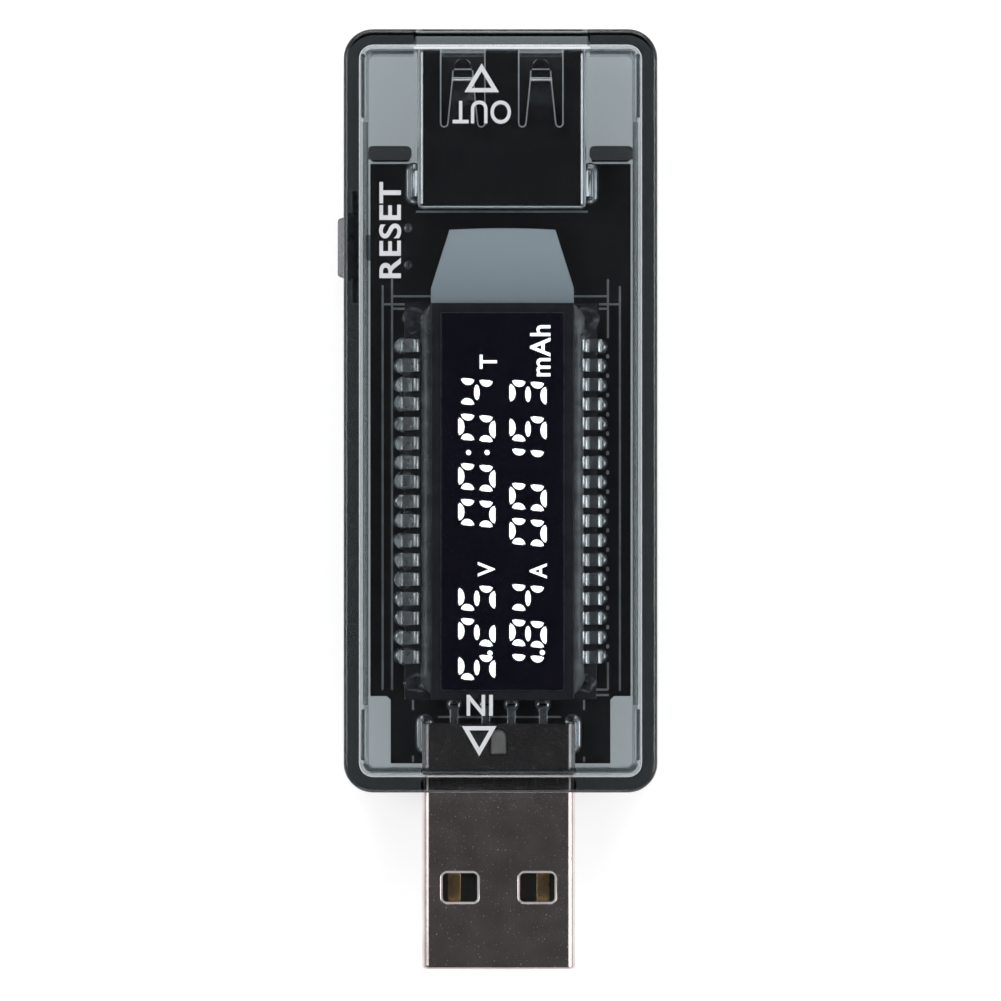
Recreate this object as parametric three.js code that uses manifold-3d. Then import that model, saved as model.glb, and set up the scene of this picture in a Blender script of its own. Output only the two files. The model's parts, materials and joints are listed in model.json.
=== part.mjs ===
// USB power meter: a stick with a USB-A plug at one end, a USB-A socket at the other, and a
// segment display under a clear smoke-tinted case that snaps together from two halves.
// Millimetres. +X right, +Y towards the socket, +Z out of the display.
// The origin is the centre of the case's back face.
import * as THREE from "three";
import { mergeVertices } from "three/addons/utils/BufferGeometryUtils.js";
import Module from "manifold-3d";

const wasm = await Module();
wasm.setup();

// ---------- driving dimensions ----------
// Case
const CASE_WIDTH = 24.5;
const CASE_LENGTH = 59.6;
const CASE_HEIGHT = 12;
const CASE_CORNER = 2.3;
const CASE_EDGE = 0.5; // rounding of the outer edges
const WALL = 1.15;
const PLATE = 1.2; // thickness of the two broad faces
const PARTING_Z = 6;
const LIP_THICKNESS = 0.65; // tongue of the rear cover that laps inside the front cover
const LIP_HEIGHT = 1.2;
const LIP_CLEARANCE = 0.1;

// Circuit board
const BOARD_WIDTH = 20.5;
const BOARD_TOP_Y = 19.5;
const BOARD_BOTTOM_Y = -27.7;
const BOARD_NECK_WIDTH = 17.3; // between the two notches beside the plug
const BOARD_NECK_Y = -22.4;
const BOARD_Z = 3.4; // underside
const BOARD_THICKNESS = 1.2;
const TAIL_Z = 2.9; // how low the soldered legs reach

// USB-A plug
const PLUG_X = -0.15;
const PLUG_WIDTH = 12;
const PLUG_HEIGHT = 4.5;
const PLUG_CORNER = 0.6;
const PLUG_TIP_Y = -43.7;
const PLUG_REAR_Y = -24.5;
const PLUG_TONGUE = 1.95;

// USB-A socket
const SOCKET_X = 0.1;
const SOCKET_WIDTH = 13.2;
const SOCKET_HEIGHT = 5.72;
const SOCKET_CORNER = 0.5;
const SOCKET_REAR_Y = 15.9;
const SOCKET_MOUTH_Y = 28.4;
const SOCKET_TONGUE = 1.84;
const SOCKET_GAP = 0.71; // between the tongue and the roof of the shell

const SHEET = 0.3; // sheet metal of both shells
const CONTACT_X = [-3.5, -1, 1, 3.5];
const CONTACT_WIDTH = 1;
const CONTACT_THICKNESS = 0.18;

// Display
const DISPLAY_X = 0.15;
const DISPLAY_TOP_Y = 8.45;
const DISPLAY_BOTTOM_Y = -22.6;
const FRONT_GLASS_WIDTH = 11.2;
const REAR_GLASS_WIDTH = 15;
const GLASS = 0.55;
const POLARIZER = 0.15;
const REAR_GLASS_Z = 9.3;
const GUIDE_Z = 6.85;
const PIN_COUNT = 17;
const PIN_PITCH = 1.5225;
const FIRST_PIN_Y = 5.11;
const PIN_LEG_X = 7.85; // from the case's centre plane

// Reset button and its switch
const BUTTON_Y = 12.95;
const BUTTON_Z = 2.45;
const BUTTON_LENGTH = 5.1;
const BUTTON_HEIGHT = 1.8;
const BUTTON_PROUD = 0.6;
const BUTTON_TRAVEL = 0.3;

// ---------- sizes worked out from them ----------
const BOARD_TOP_Z = BOARD_Z + BOARD_THICKNESS;
const CEILING_Z = CASE_HEIGHT - PLATE;
const REAR_WALL = WALL + LIP_CLEARANCE + LIP_THICKNESS; // at the root of the lip
const PLUG_FLOOR_Z = BOARD_TOP_Z + SHEET;
const PLUG_ROOF_Z = BOARD_TOP_Z + PLUG_HEIGHT;
const SOCKET_FLOOR_Z = BOARD_TOP_Z + SHEET;
const SOCKET_ROOF_Z = BOARD_TOP_Z + SOCKET_HEIGHT;
const FRONT_GLASS_Z = REAR_GLASS_Z + GLASS;
const FIT = 0.05; // gap left between pieces that sit in each other
const MARGIN = 1; // how far a cutting block runs past what it cuts

// ---------- materials ----------
function finish(color, roughness, metalness, opacity = 1) {
  return { color, roughness, metalness, opacity, transparent: opacity < 1 };
}
const FINISHES = {
  smoke_plastic: finish(0x596066, 0.08, 0, 0.45),
  button_plastic: finish(0x82868a, 0.3, 0, 0.8),
  board: finish(0x121214, 0.4, 0),
  nickel: finish(0x8f8880, 0.3, 1),
  dark_nickel: finish(0x55565a, 0.32, 1),
  gold: finish(0xc9a14a, 0.3, 1),
  black_plastic: finish(0x151517, 0.5, 0),
  white_plastic: finish(0xe8ecee, 0.45, 0),
  display_glass: finish(0x1b1b24, 0.05, 0, 0.6),
  polarizer: finish(0x0e0d16, 0.2, 0),
  tin: finish(0xb5b6b8, 0.3, 1),
  glue: finish(0xb9c2c6, 0.25, 0, 0.5),
  ceramic: finish(0x9a7b5a, 0.6, 0),
};

// ---------- shapes ----------
function roundedRect(width, length, radius, x = 0, y = 0) {
  const [w, l] = [width / 2 - radius, length / 2 - radius];
  return new THREE.Shape()
    .absarc(x + w, y + l, radius, 0, Math.PI / 2)
    .absarc(x - w, y + l, radius, Math.PI / 2, Math.PI)
    .absarc(x - w, y - l, radius, Math.PI, 1.5 * Math.PI)
    .absarc(x + w, y - l, radius, 1.5 * Math.PI, 2 * Math.PI);
}

function polygon(points) {
  return new THREE.Shape(points.map(([x, y]) => new THREE.Vector2(x, y)));
}

function extrudeZ(shape, low, high, curveSegments = 5) {
  const depth = high - low;
  return new THREE.ExtrudeGeometry(shape, { depth, bevelEnabled: false, curveSegments })
    .translate(0, 0, low);
}

// Extrudes a section drawn in X and Z along Y.
function extrudeY(section, low, high, curveSegments = 4) {
  const depth = high - low;
  return new THREE.ExtrudeGeometry(section, { depth, bevelEnabled: false, curveSegments })
    .rotateX(Math.PI / 2)
    .translate(0, high, 0);
}

function box([x0, x1], [y0, y1], [z0, z1]) {
  return new THREE.BoxGeometry(x1 - x0, y1 - y0, z1 - z0)
    .translate((x0 + x1) / 2, (y0 + y1) / 2, (z0 + z1) / 2);
}

// A bar along Y whose section in X and Z has rounded corners.
function bar(x, [low, high], [z0, z1], radius) {
  const section = roundedRect(x[1] - x[0], z1 - z0, radius, (x[0] + x[1]) / 2, (z0 + z1) / 2);
  return extrudeY(section, low, high, 3);
}

// The range of a given width about a middle.
function about(middle, width) {
  return [middle - width / 2, middle + width / 2];
}

function solid(geometry) {
  const bare = geometry.clone();
  bare.deleteAttribute("normal");
  bare.deleteAttribute("uv");
  const merged = mergeVertices(bare, 1e-4);
  return new wasm.Manifold(new wasm.Mesh({
    numProp: 3,
    vertProperties: merged.attributes.position.array,
    triVerts: new Uint32Array(merged.index.array),
  }));
}

// The base body with the added geometries joined on, then the removed ones cut away.
function worked(base, added, removed = []) {
  const joined = added.reduce((body, geometry) => body.add(solid(geometry)), base);
  return removed.reduce((body, geometry) => body.subtract(solid(geometry)), joined);
}

const meter = new THREE.Group();

function piece(name, body, finishName) {
  const { vertProperties, triVerts } = body.getMesh();
  const geometry = new THREE.BufferGeometry()
    .setAttribute("position", new THREE.BufferAttribute(vertProperties, 3))
    .setIndex(new THREE.BufferAttribute(triVerts, 1));
  geometry.computeVertexNormals();
  const mesh = new THREE.Mesh(geometry, new THREE.MeshStandardMaterial(FINISHES[finishName]));
  mesh.name = name;
  meter.add(mesh);
}

function boxPiece(name, x, y, z, finishName) {
  piece(name, solid(box(x, y, z)), finishName);
}

// ---------- case ----------
// The part of the closed case's outer shape between two heights.
function caseBlock(low, high) {
  const whole = new THREE.ExtrudeGeometry(roundedRect(CASE_WIDTH, CASE_LENGTH, CASE_CORNER), {
    depth: CASE_HEIGHT - 2 * CASE_EDGE,
    bevelSize: CASE_EDGE,
    bevelThickness: CASE_EDGE,
    bevelOffset: -CASE_EDGE,
    bevelSegments: 3,
    curveSegments: 5,
  }).translate(0, 0, CASE_EDGE);
  const slab = box([-CASE_WIDTH, CASE_WIDTH], [-CASE_LENGTH, CASE_LENGTH], [low, high]);
  return solid(whole).intersect(solid(slab));
}

function insetOutline(inset) {
  const radius = Math.max(CASE_CORNER - inset, 0.5);
  return roundedRect(CASE_WIDTH - 2 * inset, CASE_LENGTH - 2 * inset, radius);
}

// Openings in the end walls for the plug and for the mouth of the socket.
function plugDoor() {
  return box(
    about(PLUG_X, PLUG_WIDTH + 0.2),
    [-CASE_LENGTH / 2 - MARGIN, -CASE_LENGTH / 2 + REAR_WALL + FIT],
    [BOARD_TOP_Z - 0.1, PLUG_ROOF_Z + 0.1],
  );
}

function socketDoor() {
  return box(
    about(SOCKET_X, SOCKET_WIDTH + 0.6),
    [CASE_LENGTH / 2 - REAR_WALL - FIT, CASE_LENGTH / 2 + MARGIN],
    [BOARD_TOP_Z - 0.1, SOCKET_ROOF_Z + 0.1],
  );
}

// Snap ribs of the front cover, and the gaps in the rear cover's lip that they pass through.
const SNAP_X = 10.75;
const SNAP_THICKNESS = 0.26;
const SNAP_RANGES = [[22.9, 27.9], [-27.3, -23.3]];

function onBothSides(make) {
  return [-1, 1].flatMap((side) => make(side));
}

function snapRibs() {
  return onBothSides((side) => SNAP_RANGES.map((y) =>
    box(about(side * SNAP_X, SNAP_THICKNESS), y, [PARTING_Z + 0.2, CEILING_Z + FIT])));
}

function snapGaps() {
  const lipX = CASE_WIDTH / 2 - WALL - LIP_CLEARANCE - LIP_THICKNESS / 2;
  const z = [PARTING_Z, PARTING_Z + LIP_HEIGHT + MARGIN];
  return onBothSides((side) => SNAP_RANGES.map(([low, high]) =>
    box(about(side * lipX, LIP_THICKNESS + 0.4), [low - 0.3, high + 0.3], z)));
}

// Ribs that stop the board's upper edge, and pads that it rests on.
const STOP_LENGTH = 3.4;
const STOP_THICKNESS = 1.15;
const STOP_TOP_Z = 9.6;

function boardStops() {
  const y = BOARD_TOP_Y + 0.1 + STOP_THICKNESS / 2;
  const x = CASE_WIDTH / 2 - REAR_WALL - STOP_LENGTH / 2;
  return [-1, 1].map((side) => extrudeZ(
    roundedRect(STOP_LENGTH + 0.1, STOP_THICKNESS, 0.4, side * (x + 0.05), y),
    PLATE - FIT, STOP_TOP_Z, 3));
}

function boardPads() {
  const rows = [{ x: 9.1, y: 17.6 }, { x: 9.1, y: -5 }, { x: 7.4, y: -21 }];
  return onBothSides((side) => rows.map(({ x, y }) =>
    extrudeZ(roundedRect(1.6, 2.6, 0.3, side * x, y), PLATE - FIT, BOARD_Z, 2)));
}

// The slot for the reset button, and the wider pocket behind it for the button's flange.
const FLANGE_LENGTH = 8.8;
const FLANGE_HEIGHT = 2.3;
const FLANGE_THICKNESS = 0.45;
const POCKET_X = -CASE_WIDTH / 2 + 0.5;

function buttonSlot() {
  const slot = box(
    [-CASE_WIDTH / 2 - MARGIN, POCKET_X + FIT],
    about(BUTTON_Y, BUTTON_LENGTH + 0.2),
    about(BUTTON_Z, BUTTON_HEIGHT + 0.2),
  );
  const pocket = box(
    [POCKET_X, -CASE_WIDTH / 2 + REAR_WALL + FIT],
    about(BUTTON_Y, FLANGE_LENGTH + 0.3),
    [PLATE, BUTTON_Z + FLANGE_HEIGHT / 2 + 0.15],
  );
  return [slot, pocket];
}

const frontCover = caseBlock(PARTING_Z, CASE_HEIGHT + MARGIN)
  .subtract(solid(extrudeZ(insetOutline(WALL), PARTING_Z - MARGIN, CEILING_Z)));
piece("front_cover", worked(frontCover, snapRibs(), [plugDoor(), socketDoor()]), "smoke_plastic");

const lip = solid(
  extrudeZ(insetOutline(WALL + LIP_CLEARANCE), PARTING_Z - LIP_HEIGHT, PARTING_Z + LIP_HEIGHT),
);
const rearCover = caseBlock(-MARGIN, PARTING_Z)
  .add(lip)
  .subtract(solid(extrudeZ(insetOutline(WALL), PLATE, PARTING_Z - LIP_HEIGHT)))
  .subtract(solid(extrudeZ(insetOutline(REAR_WALL), PLATE + MARGIN, CASE_HEIGHT)));
piece("rear_cover", worked(
  rearCover,
  [...boardStops(), ...boardPads()],
  [plugDoor(), socketDoor(), ...snapGaps(), ...buttonSlot()],
), "smoke_plastic");

// ---------- reset button and switch ----------
const FLANGE_X = POCKET_X + 0.08;

function buttonOutline() {
  const [half, taper] = [BUTTON_LENGTH / 2, 0.3];
  const outer = -CASE_WIDTH / 2 - BUTTON_PROUD;
  return polygon([
    [FLANGE_X + 0.1, BUTTON_Y - half],
    [FLANGE_X + 0.1, BUTTON_Y + half],
    [outer + 0.15, BUTTON_Y + half - taper],
    [outer, BUTTON_Y + half - taper - 0.15],
    [outer, BUTTON_Y - half + taper + 0.15],
    [outer + 0.15, BUTTON_Y - half + taper],
  ]);
}

const [buttonLow, buttonHigh] = about(BUTTON_Z, BUTTON_HEIGHT);
const buttonCap = solid(extrudeZ(buttonOutline(), buttonLow, buttonHigh));
const flangeX = [FLANGE_X, FLANGE_X + FLANGE_THICKNESS];
const buttonFlange = box(flangeX, about(BUTTON_Y, FLANGE_LENGTH), about(BUTTON_Z, FLANGE_HEIGHT));
piece("reset_button", worked(buttonCap, [buttonFlange]), "button_plastic");

const SWITCH_X = [-10.2, -7.7];
const SWITCH_LENGTH = 4.1;
const SWITCH_Z = [1.55, BOARD_Z];
const CHANNEL_LENGTH = 2.2;
const CHANNEL_HEIGHT = 1.1;
const CHANNEL_END_X = -8.4;
const TERMINAL_X = -7.28;
const TERMINAL_Y = [BUTTON_Y - 1.4, BUTTON_Y + 1.5];
const HOUSING_SKIN = 0.2;

const channel = box(
  [SWITCH_X[0] - MARGIN, CHANNEL_END_X],
  about(BUTTON_Y, CHANNEL_LENGTH),
  about(BUTTON_Z, CHANNEL_HEIGHT),
);
const housing = solid(box(SWITCH_X, about(BUTTON_Y, SWITCH_LENGTH), SWITCH_Z));
piece("switch_housing", worked(housing, [], [channel]), "black_plastic");

// A bent sheet under the housing and round its two ends.
const frameOuter = box(
  [SWITCH_X[0] + 0.2, SWITCH_X[1] - 0.2],
  about(BUTTON_Y, SWITCH_LENGTH + 2 * HOUSING_SKIN),
  [SWITCH_Z[0] - HOUSING_SKIN, BOARD_Z],
);
const frameInner = box(
  [SWITCH_X[0] - MARGIN, SWITCH_X[1] + MARGIN],
  about(BUTTON_Y, SWITCH_LENGTH),
  [SWITCH_Z[0], BOARD_Z + MARGIN],
);
piece("switch_frame", worked(solid(frameOuter), [], [frameInner]), "nickel");

const DOME = { bow: 0.5, thickness: 0.1 };
const DOME_APEX_X = CHANNEL_END_X - FIT - DOME.bow - DOME.thickness;
const PLUNGER_X = [flangeX[1] + FIT, DOME_APEX_X - BUTTON_TRAVEL - FIT];
boxPiece(
  "switch_plunger", PLUNGER_X,
  about(BUTTON_Y, CHANNEL_LENGTH - 0.2), about(BUTTON_Z, CHANNEL_HEIGHT - 0.2), "white_plastic",
);

// Snap dome: a shallow arched strip standing at the end of the channel, bowed towards the plunger.
function domeOutline() {
  const half = CHANNEL_LENGTH / 2 - 0.1;
  const steps = 6;
  const bowed = (shift) => (_, i) => {
    const t = (2 * i) / steps - 1;
    return [CHANNEL_END_X - FIT - shift - DOME.bow * (1 - t * t), BUTTON_Y + t * half];
  };
  const inner = Array.from({ length: steps + 1 }, bowed(0));
  const outer = Array.from({ length: steps + 1 }, bowed(DOME.thickness)).reverse();
  return polygon([...inner, ...outer]);
}
piece("switch_dome", solid(extrudeZ(domeOutline(), ...about(BUTTON_Z, CHANNEL_HEIGHT - 0.3))), "nickel");

TERMINAL_Y.forEach((y, i) => {
  const foot = box([SWITCH_X[1] + FIT, TERMINAL_X + 0.25], about(y, 0.5), [BUTTON_Z, BUTTON_Z + 0.3]);
  const leg = box(about(TERMINAL_X, 0.5), about(y, 0.5), [BUTTON_Z, BOARD_TOP_Z + 0.3]);
  piece("switch_terminal_" + (i + 1), worked(solid(foot), [leg]), "tin");
});

// ---------- circuit board ----------
const PLUG_TAB = { x: PLUG_WIDTH / 2 - SHEET / 2, y: -25.35, length: 1.9 };
const SOCKET_TAB = { x: 6.95, y: 17.95, length: 2.1 };
const PLUG_LEG_Y = -23.05;
const SOCKET_LEG_Y = 17.15;
const LED_LEG_X = 1.27;
const LED_Y = 13.2;

function pinY(index) {
  return FIRST_PIN_Y - index * PIN_PITCH;
}

function boardOutline() {
  const [wide, neck] = [BOARD_WIDTH / 2, BOARD_NECK_WIDTH / 2];
  return polygon([
    [wide, BOARD_TOP_Y], [-wide, BOARD_TOP_Y], [-wide, BOARD_NECK_Y], [-neck, BOARD_NECK_Y],
    [-neck, BOARD_BOTTOM_Y], [neck, BOARD_BOTTOM_Y], [neck, BOARD_NECK_Y], [wide, BOARD_NECK_Y],
  ]);
}

function hole(x, y, width, length = width) {
  return box(about(x, width), about(y, length), [BOARD_Z - MARGIN, BOARD_TOP_Z + MARGIN]);
}

function boardHoles() {
  const holes = TERMINAL_Y.map((y) => hole(TERMINAL_X, y, 0.8));
  for (const side of [-1, 1]) {
    holes.push(hole(PLUG_X + side * (PLUG_TAB.x + 0.15), PLUG_TAB.y, 0.8, PLUG_TAB.length + 0.3));
    holes.push(hole(SOCKET_X + side * SOCKET_TAB.x, SOCKET_TAB.y, 0.6, SOCKET_TAB.length + 0.3));
    holes.push(hole(DISPLAY_X + side * LED_LEG_X, LED_Y, 0.7));
    for (let i = 0; i < PIN_COUNT; i++) {
      holes.push(hole(side * PIN_LEG_X, pinY(i), 0.6));
    }
  }
  for (const x of CONTACT_X) {
    holes.push(hole(PLUG_X + x, PLUG_LEG_Y, 0.9, 0.7));
    holes.push(hole(SOCKET_X + x, SOCKET_LEG_Y, 0.9, 0.7));
  }
  return holes;
}

const board = solid(extrudeZ(boardOutline(), BOARD_Z, BOARD_TOP_Z));
piece("circuit_board", worked(board, [], boardHoles()), "board");

// ---------- USB-A plug ----------
function shellTube(x, width, height, radius, low, high) {
  const z = BOARD_TOP_Z + height / 2;
  const section = roundedRect(width, height, radius, x, z);
  section.holes.push(roundedRect(width - 2 * SHEET, height - 2 * SHEET, radius - SHEET, x, z));
  return solid(extrudeY(section, low, high));
}

const PLUG_HOLE = { x: 3.03, y: -37.3, width: 2.75, length: 2.3 };
const LUG = { y: -25.9, width: 1.4, length: 2.1 };

function plugHoles() {
  return [-1, 1].map((side) => extrudeZ(
    roundedRect(PLUG_HOLE.width, PLUG_HOLE.length, 0.35, PLUG_X + side * PLUG_HOLE.x, PLUG_HOLE.y),
    BOARD_TOP_Z - MARGIN, PLUG_ROOF_Z + MARGIN, 3));
}

// Arched window in the roof for the insulator's locking lug.
function lugOutline(gap) {
  const radius = LUG.width / 2 - gap;
  const low = LUG.y - LUG.length / 2 + gap;
  const high = LUG.y + LUG.length / 2 - LUG.width / 2;
  return new THREE.Shape()
    .moveTo(PLUG_X - radius, low)
    .lineTo(PLUG_X + radius, low)
    .absarc(PLUG_X, high, radius, 0, Math.PI);
}

function plugTabs() {
  return [-1, 1].map((side) => box(
    about(PLUG_X + side * PLUG_TAB.x, SHEET),
    about(PLUG_TAB.y, PLUG_TAB.length),
    [TAIL_Z, BOARD_TOP_Z + 1],
  ));
}

const plugTube = shellTube(
  PLUG_X, PLUG_WIDTH, PLUG_HEIGHT, PLUG_CORNER, PLUG_TIP_Y, PLUG_REAR_Y,
);
const lugWindow = extrudeZ(lugOutline(0), PLUG_ROOF_Z - MARGIN, PLUG_ROOF_Z + MARGIN);
piece("plug_shell", worked(plugTube, plugTabs(), [...plugHoles(), lugWindow]), "nickel");

const PLUG_INSIDE = PLUG_WIDTH - 2 * SHEET - 2 * FIT;
const PLUG_BLOCK_Y = -29.2;
const TONGUE_TIP_Y = PLUG_TIP_Y + 0.4;
const PLUG_CONTACT_Z = PLUG_FLOOR_Z + PLUG_TONGUE - CONTACT_THICKNESS;

const plugTongue = bar(
  about(PLUG_X, PLUG_INSIDE), [TONGUE_TIP_Y, PLUG_REAR_Y - 0.2],
  [PLUG_FLOOR_Z + FIT, PLUG_FLOOR_Z + PLUG_TONGUE], PLUG_CORNER - SHEET,
);
const plugBlock = bar(
  about(PLUG_X, PLUG_INSIDE), [PLUG_BLOCK_Y, PLUG_REAR_Y - 0.2],
  [PLUG_FLOOR_Z + FIT, PLUG_ROOF_Z - SHEET - FIT], PLUG_CORNER - SHEET,
);
const lug = extrudeZ(lugOutline(FIT), PLUG_ROOF_Z - 2 * SHEET, PLUG_ROOF_Z - 0.1);
const plugGrooves = CONTACT_X.map((x) => box(
  about(PLUG_X + x, CONTACT_WIDTH + 2 * FIT), [TONGUE_TIP_Y + 0.4, PLUG_REAR_Y + MARGIN],
  [PLUG_CONTACT_Z - FIT, PLUG_CONTACT_Z + CONTACT_THICKNESS + FIT],
));
piece("plug_insulator", worked(solid(plugTongue), [plugBlock, lug], plugGrooves), "black_plastic");

const LEG_WIDTH = 0.64;
const LEG_THICKNESS = 0.22;
CONTACT_X.forEach((x, i) => {
  const isPower = i === 0 || i === CONTACT_X.length - 1;
  const tipY = PLUG_TIP_Y + (isPower ? 1.1 : 2.1); // the power contacts reach further than the data ones
  const middle = PLUG_X + x;
  const top = PLUG_CONTACT_Z + CONTACT_THICKNESS;
  const strip = box(about(middle, CONTACT_WIDTH), [tipY, PLUG_REAR_Y - 0.1], [PLUG_CONTACT_Z, top]);
  const bridge = box(about(middle, LEG_WIDTH), [PLUG_REAR_Y - 0.2, PLUG_LEG_Y], [PLUG_CONTACT_Z, top]);
  const leg = box(about(middle, LEG_WIDTH), about(PLUG_LEG_Y, LEG_THICKNESS), [TAIL_Z, top]);
  piece("plug_contact_" + (i + 1), worked(solid(strip), [bridge, leg]), "gold");
});

// ---------- USB-A socket ----------
const SPRING = { x: 3.05, rootY: 22.2, tipY: 27.3, window: 3.45, rootWidth: 2.35, tipWidth: 1.55 };

// The gap round one leaf spring in the roof, open at the mouth, with round ends beside the root.
function springGap(x) {
  const half = SPRING.window / 2;
  const slot = (half - SPRING.rootWidth / 2) / 2;
  const mouth = SOCKET_MOUTH_Y + MARGIN;
  const left = x - half + slot;
  const right = x + half - slot;
  return new THREE.Shape()
    .moveTo(x - half, mouth)
    .lineTo(x - half, SPRING.rootY + slot)
    .absarc(left, SPRING.rootY + slot, slot, Math.PI, 2 * Math.PI)
    .lineTo(x - SPRING.tipWidth / 2, SPRING.tipY)
    .lineTo(x + SPRING.tipWidth / 2, SPRING.tipY)
    .absarc(right, SPRING.rootY + slot, slot, Math.PI, 2 * Math.PI)
    .lineTo(x + half, mouth);
}

function socketTabs() {
  const inner = SOCKET_WIDTH / 2 - SHEET;
  return onBothSides((side) => {
    const outer = SOCKET_TAB.x + SHEET / 2;
    const shelf = [inner * side, outer * side].sort((a, b) => a - b).map((x) => x + SOCKET_X);
    const y = about(SOCKET_TAB.y, SOCKET_TAB.length);
    return [
      box(shelf, y, [SOCKET_FLOOR_Z + 0.3, SOCKET_FLOOR_Z + 0.6]),
      box(about(SOCKET_X + side * SOCKET_TAB.x, SHEET), y, [TAIL_Z, SOCKET_FLOOR_Z + 0.6]),
    ];
  });
}

const socketTube = shellTube(
  SOCKET_X, SOCKET_WIDTH, SOCKET_HEIGHT, SOCKET_CORNER, SOCKET_REAR_Y, SOCKET_MOUTH_Y,
);
const backPlate = bar(
  about(SOCKET_X, SOCKET_WIDTH), [SOCKET_REAR_Y, SOCKET_REAR_Y + SHEET],
  [BOARD_TOP_Z, SOCKET_ROOF_Z], SOCKET_CORNER,
);
const springGaps = [-1, 1].map((side) => extrudeZ(
  springGap(SOCKET_X + side * SPRING.x), SOCKET_ROOF_Z - SHEET - FIT, SOCKET_ROOF_Z + MARGIN, 4));
const LEG_WINDOW = { width: 9, length: 1.4 };
const legWindow = box(
  about(SOCKET_X, LEG_WINDOW.width),
  about(SOCKET_LEG_Y + 0.05, LEG_WINDOW.length),
  [BOARD_TOP_Z - MARGIN, SOCKET_FLOOR_Z + FIT],
);
piece(
  "socket_shell",
  worked(socketTube, [backPlate, ...socketTabs()], [...springGaps, legWindow]),
  "dark_nickel",
);

const SOCKET_BLOCK_FRONT_Y = 19;
const SOCKET_BLOCK_Y = [SOCKET_REAR_Y + SHEET + FIT, SOCKET_BLOCK_FRONT_Y];
const SOCKET_TONGUE_WIDTH = 11.1;
const TONGUE_Z = [SOCKET_ROOF_Z - SHEET - SOCKET_GAP - SOCKET_TONGUE, SOCKET_ROOF_Z - SHEET - SOCKET_GAP];
const SOCKET_CONTACT_Z = TONGUE_Z[0] - CONTACT_THICKNESS - 0.02;

const socketBlock = bar(
  about(SOCKET_X, SOCKET_WIDTH - 2 * SHEET - 2 * FIT), SOCKET_BLOCK_Y,
  [SOCKET_FLOOR_Z + FIT, SOCKET_ROOF_Z - SHEET - FIT], SOCKET_CORNER - SHEET,
);
const socketTongue = box(
  about(SOCKET_X, SOCKET_TONGUE_WIDTH), [SOCKET_BLOCK_Y[0], SOCKET_MOUTH_Y - 0.6], TONGUE_Z,
);
const socketSlots = CONTACT_X.flatMap((x) => {
  const width = about(SOCKET_X + x, CONTACT_WIDTH + 2 * FIT);
  return [
    box(width, [SOCKET_LEG_Y - 0.2, SOCKET_BLOCK_FRONT_Y + MARGIN], [SOCKET_CONTACT_Z - FIT, TONGUE_Z[0]]),
    box(width, about(SOCKET_LEG_Y, 0.4), [BOARD_Z, TONGUE_Z[0]]),
  ];
});
piece("socket_insulator", worked(solid(socketBlock), [socketTongue], socketSlots), "black_plastic");

CONTACT_X.forEach((x, i) => {
  const middle = SOCKET_X + x;
  const z = [SOCKET_CONTACT_Z, SOCKET_CONTACT_Z + CONTACT_THICKNESS];
  const strip = box(about(middle, CONTACT_WIDTH), [SOCKET_LEG_Y, SOCKET_MOUTH_Y - 2.2], z);
  const leg = box(about(middle, LEG_WIDTH), about(SOCKET_LEG_Y, LEG_THICKNESS), [TAIL_Z, z[1]]);
  piece("socket_contact_" + (i + 1), worked(solid(strip), [leg]), "gold");
});

// ---------- display ----------
const DISPLAY_Y = [DISPLAY_BOTTOM_Y, DISPLAY_TOP_Y];
const DISPLAY_MIDDLE_Y = (DISPLAY_TOP_Y + DISPLAY_BOTTOM_Y) / 2;
const VIEW_WIDTH = 9.5;
const VIEW_LENGTH = 29.4;
const frontGlassX = about(DISPLAY_X, FRONT_GLASS_WIDTH);
const viewX = about(DISPLAY_X, VIEW_WIDTH);
const viewY = about(DISPLAY_MIDDLE_Y, VIEW_LENGTH);

const GLASS_TOP_Z = FRONT_GLASS_Z + GLASS;
const GUIDE_TOP_Z = REAR_GLASS_Z - POLARIZER;

boxPiece("lcd_front_polarizer", viewX, viewY, [GLASS_TOP_Z, GLASS_TOP_Z + POLARIZER], "polarizer");
boxPiece("lcd_front_glass", frontGlassX, DISPLAY_Y, [FRONT_GLASS_Z, GLASS_TOP_Z], "display_glass");
boxPiece(
  "lcd_rear_glass", about(0, REAR_GLASS_WIDTH), DISPLAY_Y, [REAR_GLASS_Z, FRONT_GLASS_Z], "display_glass",
);
boxPiece("lcd_rear_polarizer", viewX, viewY, [GUIDE_TOP_Z, REAR_GLASS_Z], "polarizer");

// Edge-lit light guide: a slab under the glass with a tapered tail towards its lamp.
const TAIL = { shoulderY: 9.6, endY: 14.2, halfEnd: 4.15, bow: 0.12 };

function guideOutline() {
  const half = FRONT_GLASS_WIDTH / 2;
  return polygon([
    [DISPLAY_X - half, DISPLAY_BOTTOM_Y],
    [DISPLAY_X + half, DISPLAY_BOTTOM_Y],
    [DISPLAY_X + half, TAIL.shoulderY],
    [DISPLAY_X + TAIL.halfEnd, TAIL.endY],
    [DISPLAY_X, TAIL.endY + TAIL.bow],
    [DISPLAY_X - TAIL.halfEnd, TAIL.endY],
    [DISPLAY_X - half, TAIL.shoulderY],
  ]);
}
const LED = { width: 3, length: 1.2, height: 1.4 };
const ledPocket = box(
  about(DISPLAY_X, LED.width + 0.2),
  about(LED_Y, LED.length + 0.2),
  [GUIDE_Z - MARGIN, GUIDE_Z + LED.height + 0.1],
);
const guide = solid(extrudeZ(guideOutline(), GUIDE_Z, GUIDE_TOP_Z));
piece("light_guide", worked(guide, [], [ledPocket]), "white_plastic");

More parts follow.
